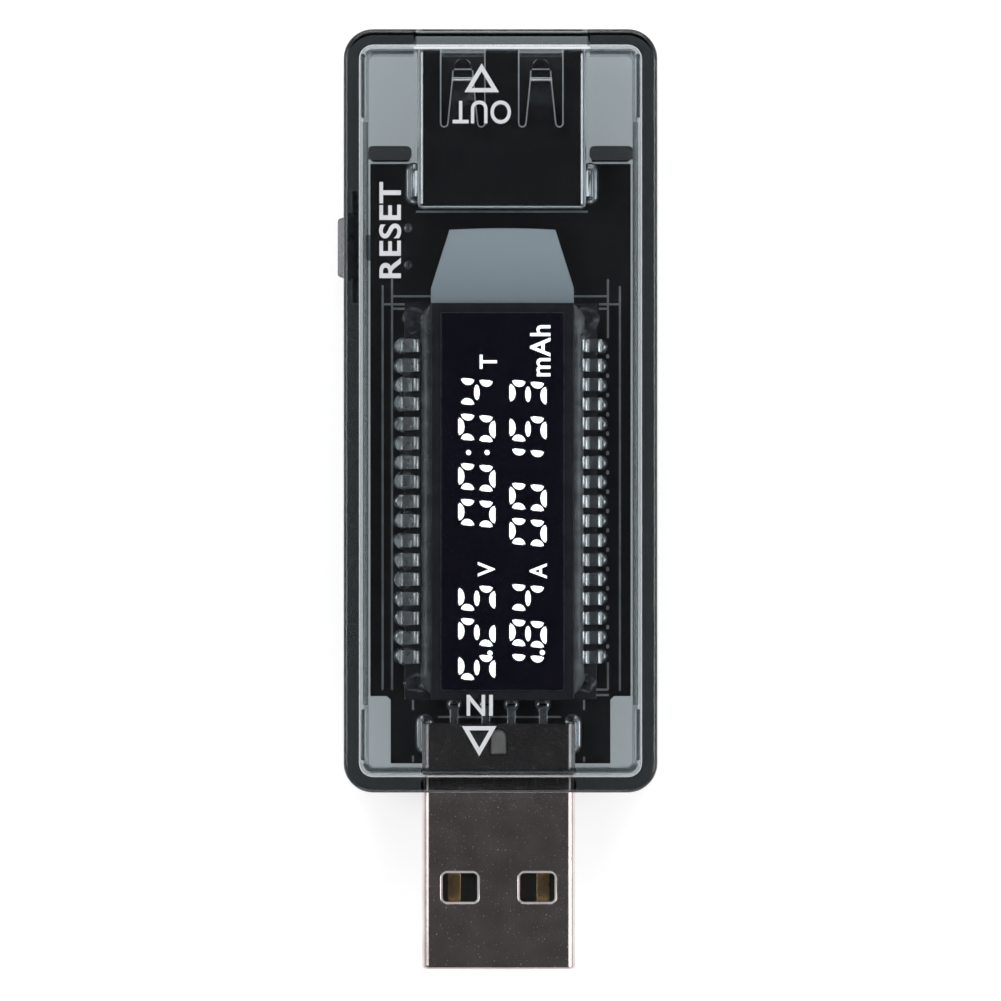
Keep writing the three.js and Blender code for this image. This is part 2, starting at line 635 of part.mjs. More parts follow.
const ledBody = box(about(DISPLAY_X, LED.width), about(LED_Y, LED.length), [GUIDE_Z, GUIDE_Z + LED.height]);
const ledLegs = [-1, 1].map((side) =>
  box(about(DISPLAY_X + side * LED_LEG_X, 0.4), about(LED_Y, 0.4), [TAIL_Z, GUIDE_Z + 0.1]));
piece("backlight_lamp", worked(solid(ledBody), ledLegs), "white_plastic");

// One row of clip pins. Each clip grips the edge of the rear glass and its leg goes down through
// the board; a carrier strip under the glass holds the row together.
const PIN_WIDTH = 1;
const PIN_SHEET = 0.2;
const PIN_LEG = { width: 0.45, thickness: 0.16 };
const CLIP_INNER_X = 6.5;
const CLIP_BOTTOM_Z = 8.8;

function sideRange(side, near, far) {
  return side > 0 ? [near, far] : [-far, -near];
}

// The clip's section: a jaw over the glass, a back, and a jaw under the glass.
function clipSection(side) {
  const [inner, back, outer] = [CLIP_INNER_X, PIN_LEG_X - PIN_SHEET / 2, PIN_LEG_X + PIN_SHEET / 2];
  const points = [
    [inner, FRONT_GLASS_Z + PIN_SHEET], [inner, FRONT_GLASS_Z], [back, FRONT_GLASS_Z],
    [back, REAR_GLASS_Z], [inner, REAR_GLASS_Z], [inner, REAR_GLASS_Z - PIN_SHEET],
    [back, REAR_GLASS_Z - PIN_SHEET], [back, CLIP_BOTTOM_Z], [outer, CLIP_BOTTOM_Z],
    [outer, FRONT_GLASS_Z + PIN_SHEET],
  ];
  return polygon(points.map(([x, z]) => [side * x, z]));
}

function clipPin(side, y) {
  const leg = sideRange(side, ...about(PIN_LEG_X, PIN_LEG.thickness));
  return [
    extrudeY(clipSection(side), ...about(y, PIN_WIDTH)),
    box(leg, about(y, PIN_LEG.width), [TAIL_Z, CLIP_BOTTOM_Z + 0.1]),
  ];
}

const LAST_PIN_Y = pinY(PIN_COUNT - 1);
for (const side of [-1, 1]) {
  const carrier = box(
    sideRange(side, CLIP_INNER_X + 0.02, CLIP_INNER_X + 0.37),
    [LAST_PIN_Y - PIN_WIDTH / 4, FIRST_PIN_Y + PIN_WIDTH / 4],
    [REAR_GLASS_Z - PIN_SHEET + 0.02, REAR_GLASS_Z - 0.02],
  );
  const pins = Array.from({ length: PIN_COUNT }, (_, i) => clipPin(side, pinY(i))).flat();
  piece("display_pins_" + (side < 0 ? "left" : "right"), worked(solid(carrier), pins), "tin");
}

// Beads of clear glue on the ledges of the rear glass, from the front glass to the clips.
const GLUE_HEIGHT = 0.4;
const GLUE_Y = [DISPLAY_BOTTOM_Y + 0.8, DISPLAY_TOP_Y - 0.25];
for (const side of [-1, 1]) {
  const near = FRONT_GLASS_WIDTH / 2 + side * DISPLAY_X + FIT;
  boxPiece(
    "glue_bead_" + (side < 0 ? "left" : "right"),
    sideRange(side, near, CLIP_INNER_X - FIT),
    GLUE_Y,
    [FRONT_GLASS_Z, FRONT_GLASS_Z + GLUE_HEIGHT],
    "glue",
  );
}

// ---------- electronics on the board's underside ----------
const SOLDER_GAP = 0.02; // thickness of the solder film under each part

function chip(name, x, y, width, length, height, finishName) {
  const top = BOARD_Z - SOLDER_GAP;
  const outline = roundedRect(width, length, 0.1, x, y);
  piece(name, solid(extrudeZ(outline, top - height, top, 1)), finishName);
}

chip("microcontroller", 0, -3, 7, 7, 1.4, "black_plastic");
chip("memory_chip", -4.6, -12.5, 3.9, 4.9, 1.45, "black_plastic");
chip("voltage_regulator", 4.9, -13.5, 2.5, 4.5, 1.5, "black_plastic");
chip("sense_resistor", 4.2, 8.2, 3.2, 6.3, 0.6, "black_plastic");
[[4.9, -18.6], [0.6, -12.5], [-0.2, 11.8], [-4.4, 4.4]].forEach(([x, y], i) =>
  chip("capacitor_" + (i + 1), x, y, 1.25, 2, 1.2, "ceramic"));
[[-1.6, -18], [0.8, -18], [-3.6, 9], [-1.8, 9]].forEach(([x, y], i) =>
  chip("resistor_" + (i + 1), x, y, 0.8, 1.6, 0.45, "black_plastic"));

export default meter;
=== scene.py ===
"""USB power meter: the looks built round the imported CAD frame. Metres, +Y to the socket, +Z up."""
import json
from math import cos, hypot, pi, radians, sin
from random import Random

import bmesh
import bpy
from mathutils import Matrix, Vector


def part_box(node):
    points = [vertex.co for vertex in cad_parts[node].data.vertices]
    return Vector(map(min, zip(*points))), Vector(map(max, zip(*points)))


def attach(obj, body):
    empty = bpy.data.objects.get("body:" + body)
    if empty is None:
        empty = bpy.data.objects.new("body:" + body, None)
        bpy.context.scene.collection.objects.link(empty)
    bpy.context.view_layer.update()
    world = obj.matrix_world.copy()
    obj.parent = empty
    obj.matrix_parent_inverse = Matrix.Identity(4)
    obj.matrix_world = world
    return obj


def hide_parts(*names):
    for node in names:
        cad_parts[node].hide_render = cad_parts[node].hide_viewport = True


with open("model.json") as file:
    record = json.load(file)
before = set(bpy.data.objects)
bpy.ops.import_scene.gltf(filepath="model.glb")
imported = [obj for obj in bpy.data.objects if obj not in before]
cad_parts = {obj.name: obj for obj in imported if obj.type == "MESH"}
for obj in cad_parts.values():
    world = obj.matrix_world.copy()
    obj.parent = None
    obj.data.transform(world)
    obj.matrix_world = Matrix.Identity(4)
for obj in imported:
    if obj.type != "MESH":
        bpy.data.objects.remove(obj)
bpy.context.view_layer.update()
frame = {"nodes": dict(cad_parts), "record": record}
MM = 0.001


# -------------------- camera, light and floor
VIEW_WIDTH = 78.4 * MM      # what the picture's width covers at the display
VIEW_CENTRE = Vector((0, -7.0 * MM, 9 * MM))
LENS, SENSOR = 350, 36
FLOOR_HALF = 3.0
FLOOR_GAP = 0.02 * MM       # how far the floor lies below the case


def placed(name, data):
    """A new object in the scene, with data of its own."""
    obj = bpy.data.objects.new(name, data)
    bpy.context.scene.collection.objects.link(obj)
    return obj


def add_camera():
    data = bpy.data.cameras.new("camera")
    data.lens, data.sensor_width = LENS, SENSOR
    data.clip_start, data.clip_end = 0.01, 20
    camera = placed("camera", data)
    camera.location = VIEW_CENTRE + Vector((0, 0, VIEW_WIDTH * LENS / SENSOR))
    bpy.context.scene.camera = camera


def add_softbox(name, place, size, power):
    """A rectangular light at place, turned towards the meter."""
    data = bpy.data.lights.new(name, "AREA")
    data.shape = "RECTANGLE"
    data.size, data.size_y = size
    data.energy = power
    lamp = placed(name, data)
    lamp.location = place
    lamp.rotation_euler = (VIEW_CENTRE - Vector(place)).to_track_quat("-Z", "Y").to_euler()


def add_world():
    """A pale studio: bright round the horizon, dim overhead, so that level faces don't glare."""
    world = bpy.data.worlds.new("studio")
    bpy.context.scene.world = world
    world.use_nodes = True
    nodes, links = world.node_tree.nodes, world.node_tree.links
    nodes.clear()
    split = nodes.new("ShaderNodeSeparateXYZ")
    links.new(nodes.new("ShaderNodeTexCoord").outputs["Generated"], split.inputs[0])
    ramp = nodes.new("ShaderNodeValToRGB")
    horizon, overhead = ramp.color_ramp.elements
    horizon.position, horizon.color = 0.05, (0.75, 0.75, 0.76, 1)
    overhead.position, overhead.color = 0.85, (0.025, 0.025, 0.027, 1)
    links.new(split.outputs["Z"], ramp.inputs[0])
    sky = nodes.new("ShaderNodeBackground")
    links.new(ramp.outputs[0], sky.inputs["Color"])
    links.new(sky.outputs[0], nodes.new("ShaderNodeOutputWorld").inputs["Surface"])


def add_floor():
    """A pale light table: white acrylic with a soft glow of its own."""
    mesh = bpy.data.meshes.new("floor")
    corners = [(x * FLOOR_HALF, y * FLOOR_HALF, 0) for x, y in ((-1, -1), (1, -1), (1, 1), (-1, 1))]
    mesh.from_pydata(corners, [], [(0, 1, 2, 3)])
    floor = placed("floor", mesh)
    floor.location.z = -FLOOR_GAP
    mat = bpy.data.materials.new("floor_white")
    mat.use_nodes = True
    acrylic = {"Base Color": (0.72, 0.72, 0.72, 1), "Roughness": 0.6, "Specular IOR Level": 0.2,
               "Emission Color": (1, 1, 1, 1), "Emission Strength": 0.57}
    for key, value in acrylic.items():
        mat.node_tree.nodes["Principled BSDF"].inputs[key].default_value = value
    mesh.materials.append(mat)


bpy.context.scene.view_settings.view_transform = "Standard"
add_camera()
add_world()
add_floor()
add_softbox("softbox_left", (-0.34, 0.05, 0.46), (0.22, 0.4), 0.8)
add_softbox("softbox_right", (0.36, -0.04, 0.44), (0.22, 0.4), 0.9)
add_softbox("softbox_far", (0.0, 0.50, 0.36), (0.7, 0.4), 2.4)
add_softbox("softbox_near", (-0.02, -0.46, 0.26), (0.5, 0.2), 0.6)


# -------------------- materials
MATERIALS = {}


class Recipe:
    """A material in MATERIALS, with short names for the nodes that the finishes below use."""

    def __init__(self, name):
        mat = MATERIALS[name] = bpy.data.materials.new(name)
        mat.use_nodes = True
        self.nodes, self.links = mat.node_tree.nodes, mat.node_tree.links
        self.shader, self.out = self.nodes["Principled BSDF"], self.nodes["Material Output"]
        self.place = self.nodes.new("ShaderNodeTexCoord").outputs["Object"]

    def wire(self, node, inputs):
        """Gives each named input of a node a value or another node's output."""
        for key, value in inputs.items():
            if isinstance(value, bpy.types.NodeSocket):
                self.links.new(value, node.inputs[key])
            else:
                node.inputs[key].default_value = value
        return node.outputs

    def node(self, kind, inputs, operation=None):
        """Adds a node and returns its outputs."""
        node = self.nodes.new(kind)
        if operation:
            node.operation = operation
        return self.wire(node, inputs)

    def set(self, **inputs):
        """Sets the shader's own inputs."""
        self.wire(self.shader, {key.replace("_", " "): value for key, value in inputs.items()})

    def in_mm(self, scale=1.0):
        """The object's own coordinates, in millimetres times scale."""
        return self.node("ShaderNodeVectorMath", {0: self.place, 1: [scale / MM] * 3}, "MULTIPLY")[0]

    def noise(self, size, detail=3.0):
        """Noise with features of about size millimetres."""
        return self.node("ShaderNodeTexNoise", {"Vector": self.in_mm(1 / size), "Scale": 1.0,
                                                "Detail": detail, "Roughness": 0.55})["Fac"]

    def ramp(self, fac, low, high, start=0.3, end=0.7):
        """Maps fac from start..end to low..high, which are numbers or colours."""
        if isinstance(low, tuple):
            node = self.nodes.new("ShaderNodeValToRGB")
            for stop, position, colour in zip(node.color_ramp.elements, (start, end), (low, high)):
                stop.position, stop.color = position, (*colour, 1)
            self.links.new(fac, node.inputs[0])
            return node.outputs[0]
        return self.node("ShaderNodeMapRange", {"Value": fac, "From Min": start, "From Max": end,
                                                "To Min": low, "To Max": high})[0]

    def plus(self, one, other):
        return self.node("ShaderNodeMath", {0: one, 1: other}, "ADD")[0]

    def blend(self, fac, one, other):
        return self.node("ShaderNodeMixRGB", {0: fac, 1: one, 2: other})[0]

    def along_y(self, start, end):
        """Runs from 0 to 1 between two heights along Y, in millimetres."""
        return self.ramp(self.node("ShaderNodeSeparateXYZ", {0: self.in_mm()})["Y"], 0.0, 1.0, start, end)

    def bump(self, fac, depth):
        """Relief of depth millimetres."""
        self.set(Normal=self.node("ShaderNodeBump", {"Height": fac, "Distance": depth * MM})[0])

    def lets_lamps_in(self, tint):
        """Rays towards lamps pass straight through, tinted, so that what is inside is lit."""
        to_lamp = self.node("ShaderNodeLightPath", {})["Is Shadow Ray"]
        clear = self.node("ShaderNodeBsdfTransparent", {0: (*tint, 1)})[0]
        mix = self.node("ShaderNodeMixShader", {0: to_lamp, 1: self.shader.outputs[0], 2: clear})[0]
        self.wire(self.out, {"Surface": mix})

    def absorbs(self, colour, per_mm):
        fog = self.node("ShaderNodeVolumeAbsorption", {"Color": (*colour, 1), "Density": per_mm / MM})[0]
        self.wire(self.out, {"Volume": fog})


def clear(name, colour, clearness, ior, rough, relief, tint):
    """Clear plastic or glue; rough is a noise's size and range, and relief a noise's size, detail and depth."""
    m = Recipe(name)
    m.set(Base_Color=(*colour, 1), Transmission_Weight=clearness, IOR=ior,
          Roughness=m.ramp(m.noise(rough[0]), *rough[1:]))
    m.bump(m.noise(*relief[:2]), relief[2])
    m.lets_lamps_in(tint)
    return m


def metal(name, dark, light, rough, grain, relief, dusty=0.0, shade_from=None):
    """Sheet metal; dusty is how much rougher its fine specks are. Past the given point along Y its colour is
    halved: painted shade on the parts inside the case.
    """
    m = Recipe(name)
    colour = m.ramp(m.noise(2.5), dark, light)
    if shade_from is not None:
        # painted shade: a copy of the colour at half strength, blended in past that point along Y
        shaded_colour = m.ramp(m.noise(2.5), *(tuple(0.5 * c for c in shade) for shade in (dark, light)))
        colour = m.blend(m.along_y(shade_from - 0.4, shade_from + 0.4), colour, shaded_colour)
    dust = m.ramp(m.noise(0.14, detail=1.0), 0, dusty, 0.70, 0.78)
    roughness = m.ramp(m.noise(grain, detail=1.0), rough - 0.01, rough + 0.01)
    m.set(Metallic=1.0, Base_Color=colour, Roughness=m.plus(roughness, dust))
    m.bump(m.noise(grain), relief)


def moulded(name, dark, light, rough=0.45, grain=0.08, relief=0.004):
    m = Recipe(name)
    m.set(Base_Color=m.ramp(m.noise(1.5), dark, light), Roughness=m.ramp(m.noise(0.6), rough - 0.06, rough + 0.08))
    m.bump(m.noise(grain), relief)


def guide_with_painted_glow():
    """White plastic, with a painted glow that brightens it towards its lamp."""
    m = Recipe("white_plastic")
    # painted glow: the colour runs from darker to lighter between 8 and 14 mm along Y, towards the lamp
    m.set(Base_Color=m.ramp(m.along_y(8.0, 14.0), (0.42, 0.475, 0.51), (0.59, 0.655, 0.70), 0.0, 1.0),
          Roughness=m.ramp(m.noise(0.6), 0.32, 0.5))
    m.bump(m.noise(0.08), 0.003)


def lit_segments():
    """White light, a little uneven."""
    m = Recipe("lit_segments")
    m.set(Base_Color=(0.5, 0.5, 0.5, 1), Roughness=0.4, Emission_Color=(1, 1, 1, 1),
          Emission_Strength=m.ramp(m.noise(0.8), 1.9 * 0.9, 1.9 * 1.1))


smoke = clear("smoke_plastic", (0.93, 0.98, 1.0), 1.0, 1.49, (4.0, 0.012, 0.035), (9.0, 1.0, 0.004),
              (0.83, 0.84, 0.85))
smoke.absorbs((0.05, 0.06, 0.07), 0.27)
# nickel gets painted shade from -29.3 mm along Y, where the plug and the switch lie inside the case
metal("nickel", (0.62, 0.55, 0.54), (0.74, 0.67, 0.655), 0.215, 1.6, 0.0003, 0.2, -29.3)
metal("dark_nickel", (0.43, 0.43, 0.44), (0.49, 0.49, 0.50), 0.11, 1.2, 0.0003, 0.05)
# brighter, rougher metal for edges, rims and folds: partly the raw steel of a cut, partly painted highlight
metal("cut_edge_and_glint", (0.80, 0.79, 0.78), (0.92, 0.91, 0.90), 0.45, 0.4, 0.0004)
metal("gold", (0.62, 0.43, 0.20), (0.78, 0.58, 0.30), 0.25, 0.4, 0.0004)
metal("tin", (0.62, 0.62, 0.63), (0.86, 0.86, 0.87), 0.2, 0.5, 0.001)
# a darker copy of tin for the left row of clips: painted shade on that side
metal("shaded_tin", (0.38, 0.38, 0.39), (0.55, 0.55, 0.56), 0.28, 0.5, 0.001)
moulded("black_plastic", (0.012, 0.012, 0.013), (0.022, 0.022, 0.024))
guide_with_painted_glow()
moulded("board", (0.006, 0.006, 0.007), (0.011, 0.010, 0.012), 0.4, 0.3)
moulded("polarizer", (0.006, 0.005, 0.012), (0.010, 0.008, 0.018), 0.12, 3.0, 0.001)
moulded("display_glass", (0.025, 0.025, 0.03), (0.036, 0.036, 0.042), 0.1, 3.0, 0.001)
moulded("glue", (0.11, 0.115, 0.12), (0.24, 0.25, 0.26), 0.22, 0.5, 0.05)
# a darker copy of glue for the left ledge: painted shade on that side
moulded("shaded_glue", (0.055, 0.058, 0.06), (0.125, 0.13, 0.135), 0.22, 0.5, 0.05)
clear("clear_glue", (0.95, 0.97, 0.98), 1.0, 1.42, (0.5, 0.03, 0.15), (0.5, 3.0, 0.03), (0.9, 0.91, 0.92))
moulded("ceramic", (0.30, 0.21, 0.12), (0.42, 0.30, 0.19), 0.55)
cloudy = clear("button_plastic", (0.9, 0.92, 0.94), 0.85, 1.49, (0.7, 0.22, 0.38), (0.12, 3.0, 0.003),
               (0.6, 0.61, 0.62))
cloudy.absorbs((0.05, 0.08, 0.12), 1.3)
moulded("white_ink", (0.62, 0.65, 0.68), (0.74, 0.76, 0.78), 0.5, 0.15)
moulded("faint_ink", (0.29, 0.30, 0.31), (0.44, 0.45, 0.46), 0.5, 0.15)
moulded("lug_plastic", (0.26, 0.235, 0.22), (0.35, 0.32, 0.305), 0.4, 0.15)
moulded("film_edge", (0.03, 0.03, 0.05), (0.05, 0.045, 0.07), 0.3, 0.5)
lit_segments()


def dress_cad_nodes():
    for part in frame["record"]["subparts"]:
        mesh = frame["nodes"][part["node"]].data
        mesh.materials.clear()
        mesh.materials.append(MATERIALS[part["material_slot"]])


dress_cad_nodes()


# -------------------- mesh helpers, in millimetres
class Span:
    """The box of one CAD node: corners, middle, size, and a range along each axis."""

    def __init__(self, node):
        low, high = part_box(node)
        self.low, self.high = Vector(low) / MM, Vector(high) / MM
        self.mid, self.size = (self.low + self.high) / 2, self.high - self.low
        self.x, self.y, self.z = zip(self.low, self.high)


FRONT, REAR, BOARD = Span("front_cover"), Span("rear_cover"), Span("circuit_board")
PLUG, SOCKET = Span("plug_shell"), Span("socket_shell")
VIEW, GLASS, LEDGE = Span("lcd_front_polarizer"), Span("lcd_front_glass"), Span("lcd_rear_glass")
GUIDE, BUTTON, SWITCH = Span("light_guide"), Span("reset_button"), Span("switch_housing")


def face_outwards(mesh, weld=0.0):
    """Turns the faces outwards, once points closer than weld metres are joined."""
    work = bmesh.new()
    work.from_mesh(mesh)
    if weld:
        bmesh.ops.remove_doubles(work, verts=work.verts, dist=weld)
    bmesh.ops.recalc_face_normals(work, faces=work.faces)
    work.to_mesh(mesh)
    work.free()


def rounded(x, y, radius, steps=6):
    """An outline with round corners over the ranges x and y, anticlockwise."""
    corners = ((x[1] - radius, y[1] - radius), (x[0] + radius, y[1] - radius),
               (x[0] + radius, y[0] + radius), (x[1] - radius, y[0] + radius))
    return [(cx + radius * cos(turn), cy + radius * sin(turn))
            for quarter, (cx, cy) in enumerate(corners)
            for turn in ((quarter + step / steps) * pi / 2 for step in range(steps + 1))]


def about(middle, size):
    return (middle - size / 2, middle + size / 2)


def grown(span, amount):
    return (span[0] - amount, span[1] + amount)


def at_z(outline, z):
    return [(x, y, z) for x, y in outline]


def at_y(outline, y):
    return [(x, y, z) for x, z in outline]


def at_x(outline, x):
    return [(x, y, z) for y, z in outline]


def loft(name, rings, closed=False):
    """A skin through rings of equal length, capped at both ends, or joined end to end."""
    size, count = len(rings[0]), len(rings)
    faces = [(k * size + i, k * size + (i + 1) % size,
              (k + 1) % count * size + (i + 1) % size, (k + 1) % count * size + i)
             for k in range(count if closed else count - 1) for i in range(size)]
    if not closed:
        faces += [tuple(range(size)), tuple(range((count - 1) * size, count * size))]
    mesh = bpy.data.meshes.new(name)
    mesh.from_pydata([tuple(c * MM for c in point) for ring in rings for point in ring], [], faces)
    face_outwards(mesh)
    return placed(name, mesh)


def slab(name, x, y, z, radius, edge=0.0, steps=6, place=at_z):
    """A block with round upright corners and softened upper and lower edges."""
    levels = [(z[0], 0), (z[1], 0)]
    if edge:
        half = edge * (1 - 0.7071)      # inset and depth of the edge's middle, at 45 degrees
        levels = [(z[0], edge), (z[0] + half, half), (z[0] + edge, 0),
                  (z[1] - edge, 0), (z[1] - half, half), (z[1], edge)]
    rings = [place(rounded(grown(x, -inset), grown(y, -inset), max(radius - inset, 0.01), steps), level)
             for level, inset in levels]
    return loft(name, rings)


def ribbon(name, path, thickness, span, place=at_y):
    """A strip of sheet following a path of points, thickness thick, across span, with soft edges."""
    sides = ([], [])
    for k, (a, b) in enumerate(path):
        before, after = path[max(k - 1, 0)], path[min(k + 1, len(path) - 1)]
        da, db = after[0] - before[0], after[1] - before[1]
        length = hypot(da, db) or 1
        for sign, side in zip((1, -1), sides):
            side.append((a - sign * db / length * thickness / 2, b + sign * da / length * thickness / 2))
    outline = sides[0] + sides[1][::-1]
    inset = 0.06
    middle = [((p[0] * (1 - inset) + q[0] * inset), (p[1] * (1 - inset) + q[1] * inset))
              for p, q in zip(outline, outline[::-1])]
    low, high = span
    soft = min(inset, (high - low) / 4)
    return loft(name, [place(middle, low), place(outline, low + soft), place(outline, high - soft),
                       place(middle, high)])


def bend(centre, radius, start, end, steps=5):
    """Points of an arc, in degrees."""
    return [(centre[0] + radius * cos(radians(start + (end - start) * k / steps)),
             centre[1] + radius * sin(radians(start + (end - start) * k / steps))) for k in range(steps + 1)]


def dome(name, x, y, z, radius, height, top, steps=14, rows=5):
    """A solder fillet standing at z: wide at its foot, narrowing in a curve."""
    rings = []
    for k in range(rows + 1):
        t = k / rows
        r = radius * (1 - (1 - top) * sin(t * pi / 2) ** 0.8) if k else radius
        rings.append([(x + r * cos(2 * pi * i / steps), y + r * sin(2 * pi * i / steps), z + height * t * t)
                      for i in range(steps)])
    return loft(name, rings)


def bead(name, path, radius, steps=6):
    """A fine round bead along a path of points."""
    rings = []
    for k, point in enumerate(path):
        along = (Vector(path[min(k + 1, len(path) - 1)]) - Vector(path[max(k - 1, 0)])).normalized()
        side = along.cross(Vector((0, 0, 1))).normalized()
        up = side.cross(along)
        rings.append([Vector(point) + side * (radius * cos(turn)) + up * (radius * sin(turn))
                      for turn in (2 * pi * i / steps for i in range(steps))])
    return loft(name, rings)


def merged(name, objects):
    """One object from many, each keeping its own closed surfaces."""
    work = bmesh.new()
    for obj in objects:
        work.from_mesh(obj.data)
    mesh = bpy.data.meshes.new(name)
    work.to_mesh(mesh)
    work.free()
    for obj in objects:
        bpy.data.objects.remove(obj)
    return placed(name, mesh)


def evaluated(obj):
    """The object's mesh with its modifiers applied, as data of its own."""
    bpy.context.view_layer.update()
    return bpy.data.meshes.new_from_object(obj.evaluated_get(bpy.context.evaluated_depsgraph_get()))


def combine(obj, others, operation):
    """Joins closed pieces to obj, or cuts them out of it, and removes them."""
    for other in others:
        modifier = obj.modifiers.new("combine", "BOOLEAN")
        modifier.operation = operation
        modifier.solver = "EXACT"
        modifier.object = other
    mesh = evaluated(obj)
    obj.modifiers.clear()
    obj.data = mesh
    for other in others:
        bpy.data.objects.remove(other)
    return obj


def cut(obj, others):
    return combine(obj, others, "DIFFERENCE")


def join(obj, others):
    return combine(obj, others, "UNION")


def done(obj, slot, stands_for=(), body="case", angle=32, finish=None):
    """Smooths the shading, dresses the piece in its slot's finish or another, and hangs it on its body."""
    obj.data.shade_smooth()
    obj.data.set_sharp_from_angle(angle=radians(angle))
    even = obj.modifiers.new("even_shading", "WEIGHTED_NORMAL")
    even.keep_sharp = True
    obj.data.materials.clear()
    obj.data.materials.append(MATERIALS[finish or slot])
    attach(obj, body)
    if stands_for:
        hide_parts(*stands_for)


# -------------------- case
WALL, PLATE, CASE_CORNER, CASE_EDGE = 1.15, 1.2, 2.3, 0.35
LIP, LIP_GAP = 0.65, 0.1
CASE_X, CASE_Y = FRONT.x, FRONT.y
PARTING, TOP = FRONT.z
CEILING = TOP - PLATE
LIP_LOW, LIP_HIGH = PARTING - 1.2, REAR.high.z
BOARD_TOP = BOARD.high.z
PLUG_TUBE_X, PLUG_TUBE_Z = about(PLUG.mid.x, 12), (BOARD_TOP, PLUG.high.z)
SOCKET_TUBE_X, SOCKET_TUBE_Z = about(SOCKET.mid.x, 13.2), (BOARD_TOP, SOCKET.high.z)
DOOR_DEPTH, PAST = 2.2, 1       # depth of the end openings, and how far a cutter runs past what it cuts
BUTTON_LENGTH, BUTTON_HEIGHT, FLANGE = 5.1, 1.8, 0.45


def case_ring(inset, z):
    radius = max(CASE_CORNER - inset, 0.4)
    return at_z(rounded(grown(CASE_X, -inset), grown(CASE_Y, -inset), radius, 12), z)


def case_edge(z, direction, steps=10):
    """Rings over a rounded outer edge, from the wall to the broad face at z."""
    turns = [pi / 2 * k / steps for k in range(steps + 1)]
    return [case_ring(CASE_EDGE * (1 - cos(a)), z - direction * CASE_EDGE * (1 - sin(a))) for a in turns]


def end_doors():
    """Cutters for the openings of the plug and of the socket, with soft corners."""
    return [
        slab("plug_door", grown(PLUG_TUBE_X, 0.1), grown(PLUG_TUBE_Z, 0.1),
             (CASE_Y[0] - PAST, CASE_Y[0] + DOOR_DEPTH), 0.35, place=at_y),
        slab("socket_door", grown(SOCKET_TUBE_X, 0.3), grown(SOCKET_TUBE_Z, 0.1),
             (CASE_Y[1] - DOOR_DEPTH, CASE_Y[1] + PAST), 0.3, place=at_y),
    ]


FILLET = (0.75, 0.5)          # inside the front cover, along the broad face and down the wall
SNAP_X, SNAP_THICKNESS = 10.75, 0.26
SNAP_Y = ((22.9, 27.9), (-27.3, -23.3))


def build_front_cover():
    shell = loft("front_cover_moulding",
                 [case_ring(0.08, PARTING + 0.01), case_ring(0, PARTING + 0.09)] + case_edge(TOP, 1))
    hollow = loft("hollow", [case_ring(WALL - 0.05, PARTING - PAST)] + [
        case_ring(WALL + FILLET[0] * (1 - cos(a)), CEILING - FILLET[1] * (1 - sin(a)))
        for a in (pi / 16 * k for k in range(9))])
    cut(shell, [hollow])
    rib_z = (PARTING + 0.2, CEILING + 0.1)
    join(shell, [slab("snap_rib", about(side * SNAP_X, SNAP_THICKNESS), y, rib_z, 0.1, 0.05)
                 for side in (-1, 1) for y in SNAP_Y])
    cut(shell, end_doors())
    done(shell, "smoke_plastic", ["front_cover"])


STOP_X, STOP_Y, STOP_TOP = (6.95, 10.4), (19.6, 20.75), 9.6
PAD_SIZE, PAD_PLACES = (1.6, 2.6), ((9.1, 17.6), (9.1, -5), (7.4, -21))


def build_rear_cover():
    shell = loft("rear_cover_moulding",
                 case_edge(0, -1)[::-1] + [case_ring(0, PARTING - 0.09), case_ring(0.08, PARTING - 0.01)])
    outer, inner = WALL + LIP_GAP, WALL + LIP_GAP + LIP
    tongue = loft("tongue", [case_ring(outer, LIP_LOW), case_ring(outer, LIP_HIGH - 0.1),
                             case_ring(outer + 0.08, LIP_HIGH)])
    join(shell, [tongue])
    cut(shell, [
        loft("floor_hollow", [case_ring(WALL + 0.3, PLATE), case_ring(WALL + 0.09, PLATE + 0.09),
                              case_ring(WALL, PLATE + 0.3), case_ring(WALL, LIP_LOW)]),
        loft("lip_hollow", [case_ring(inner, PLATE + 1), case_ring(inner, LIP_HIGH - 0.1),
                            case_ring(inner - 0.1, LIP_HIGH + 0.5)]),
    ])
    standing = [slab("board_stop", sorted(side * x for x in STOP_X), STOP_Y,
                     (PLATE - 0.1, STOP_TOP), 0.45, 0.08) for side in (-1, 1)]
    standing += [slab("board_pad", about(side * x, PAD_SIZE[0]), about(y, PAD_SIZE[1]),
                      (PLATE - 0.1, BOARD.low.z + 0.49), 0.3, 0.05)
                 for side in (-1, 1) for x, y in PAD_PLACES]
    join(shell, standing)
    gaps = [slab("snap_gap", about(side * (CASE_X[1] - outer - LIP / 2), LIP + 0.4), grown(y, 0.3),
                 (PARTING, LIP_HIGH + PAST), 0.1) for side in (-1, 1) for y in SNAP_Y]
    pocket_x = CASE_X[0] + 0.5
    slot = slab("button_slot", grown(about(BUTTON.mid.y, BUTTON_LENGTH), 0.1),
                grown(about(BUTTON.mid.z, BUTTON_HEIGHT), 0.1), (CASE_X[0] - PAST, pocket_x + 0.05), 0.15,
                place=at_x)
    pocket = slab("flange_pocket", (pocket_x, CASE_X[0] + 1.95), grown(BUTTON.y, 0.15),
                  (PLATE, BUTTON.high.z + 0.15), 0.05)
    cut(shell, end_doors() + gaps + [slot, pocket])
    done(shell, "smoke_plastic", ["rear_cover"])


build_front_cover()
build_rear_cover()


# -------------------- printed marks
INK_Z = TOP + 0.004
INK = 0.03


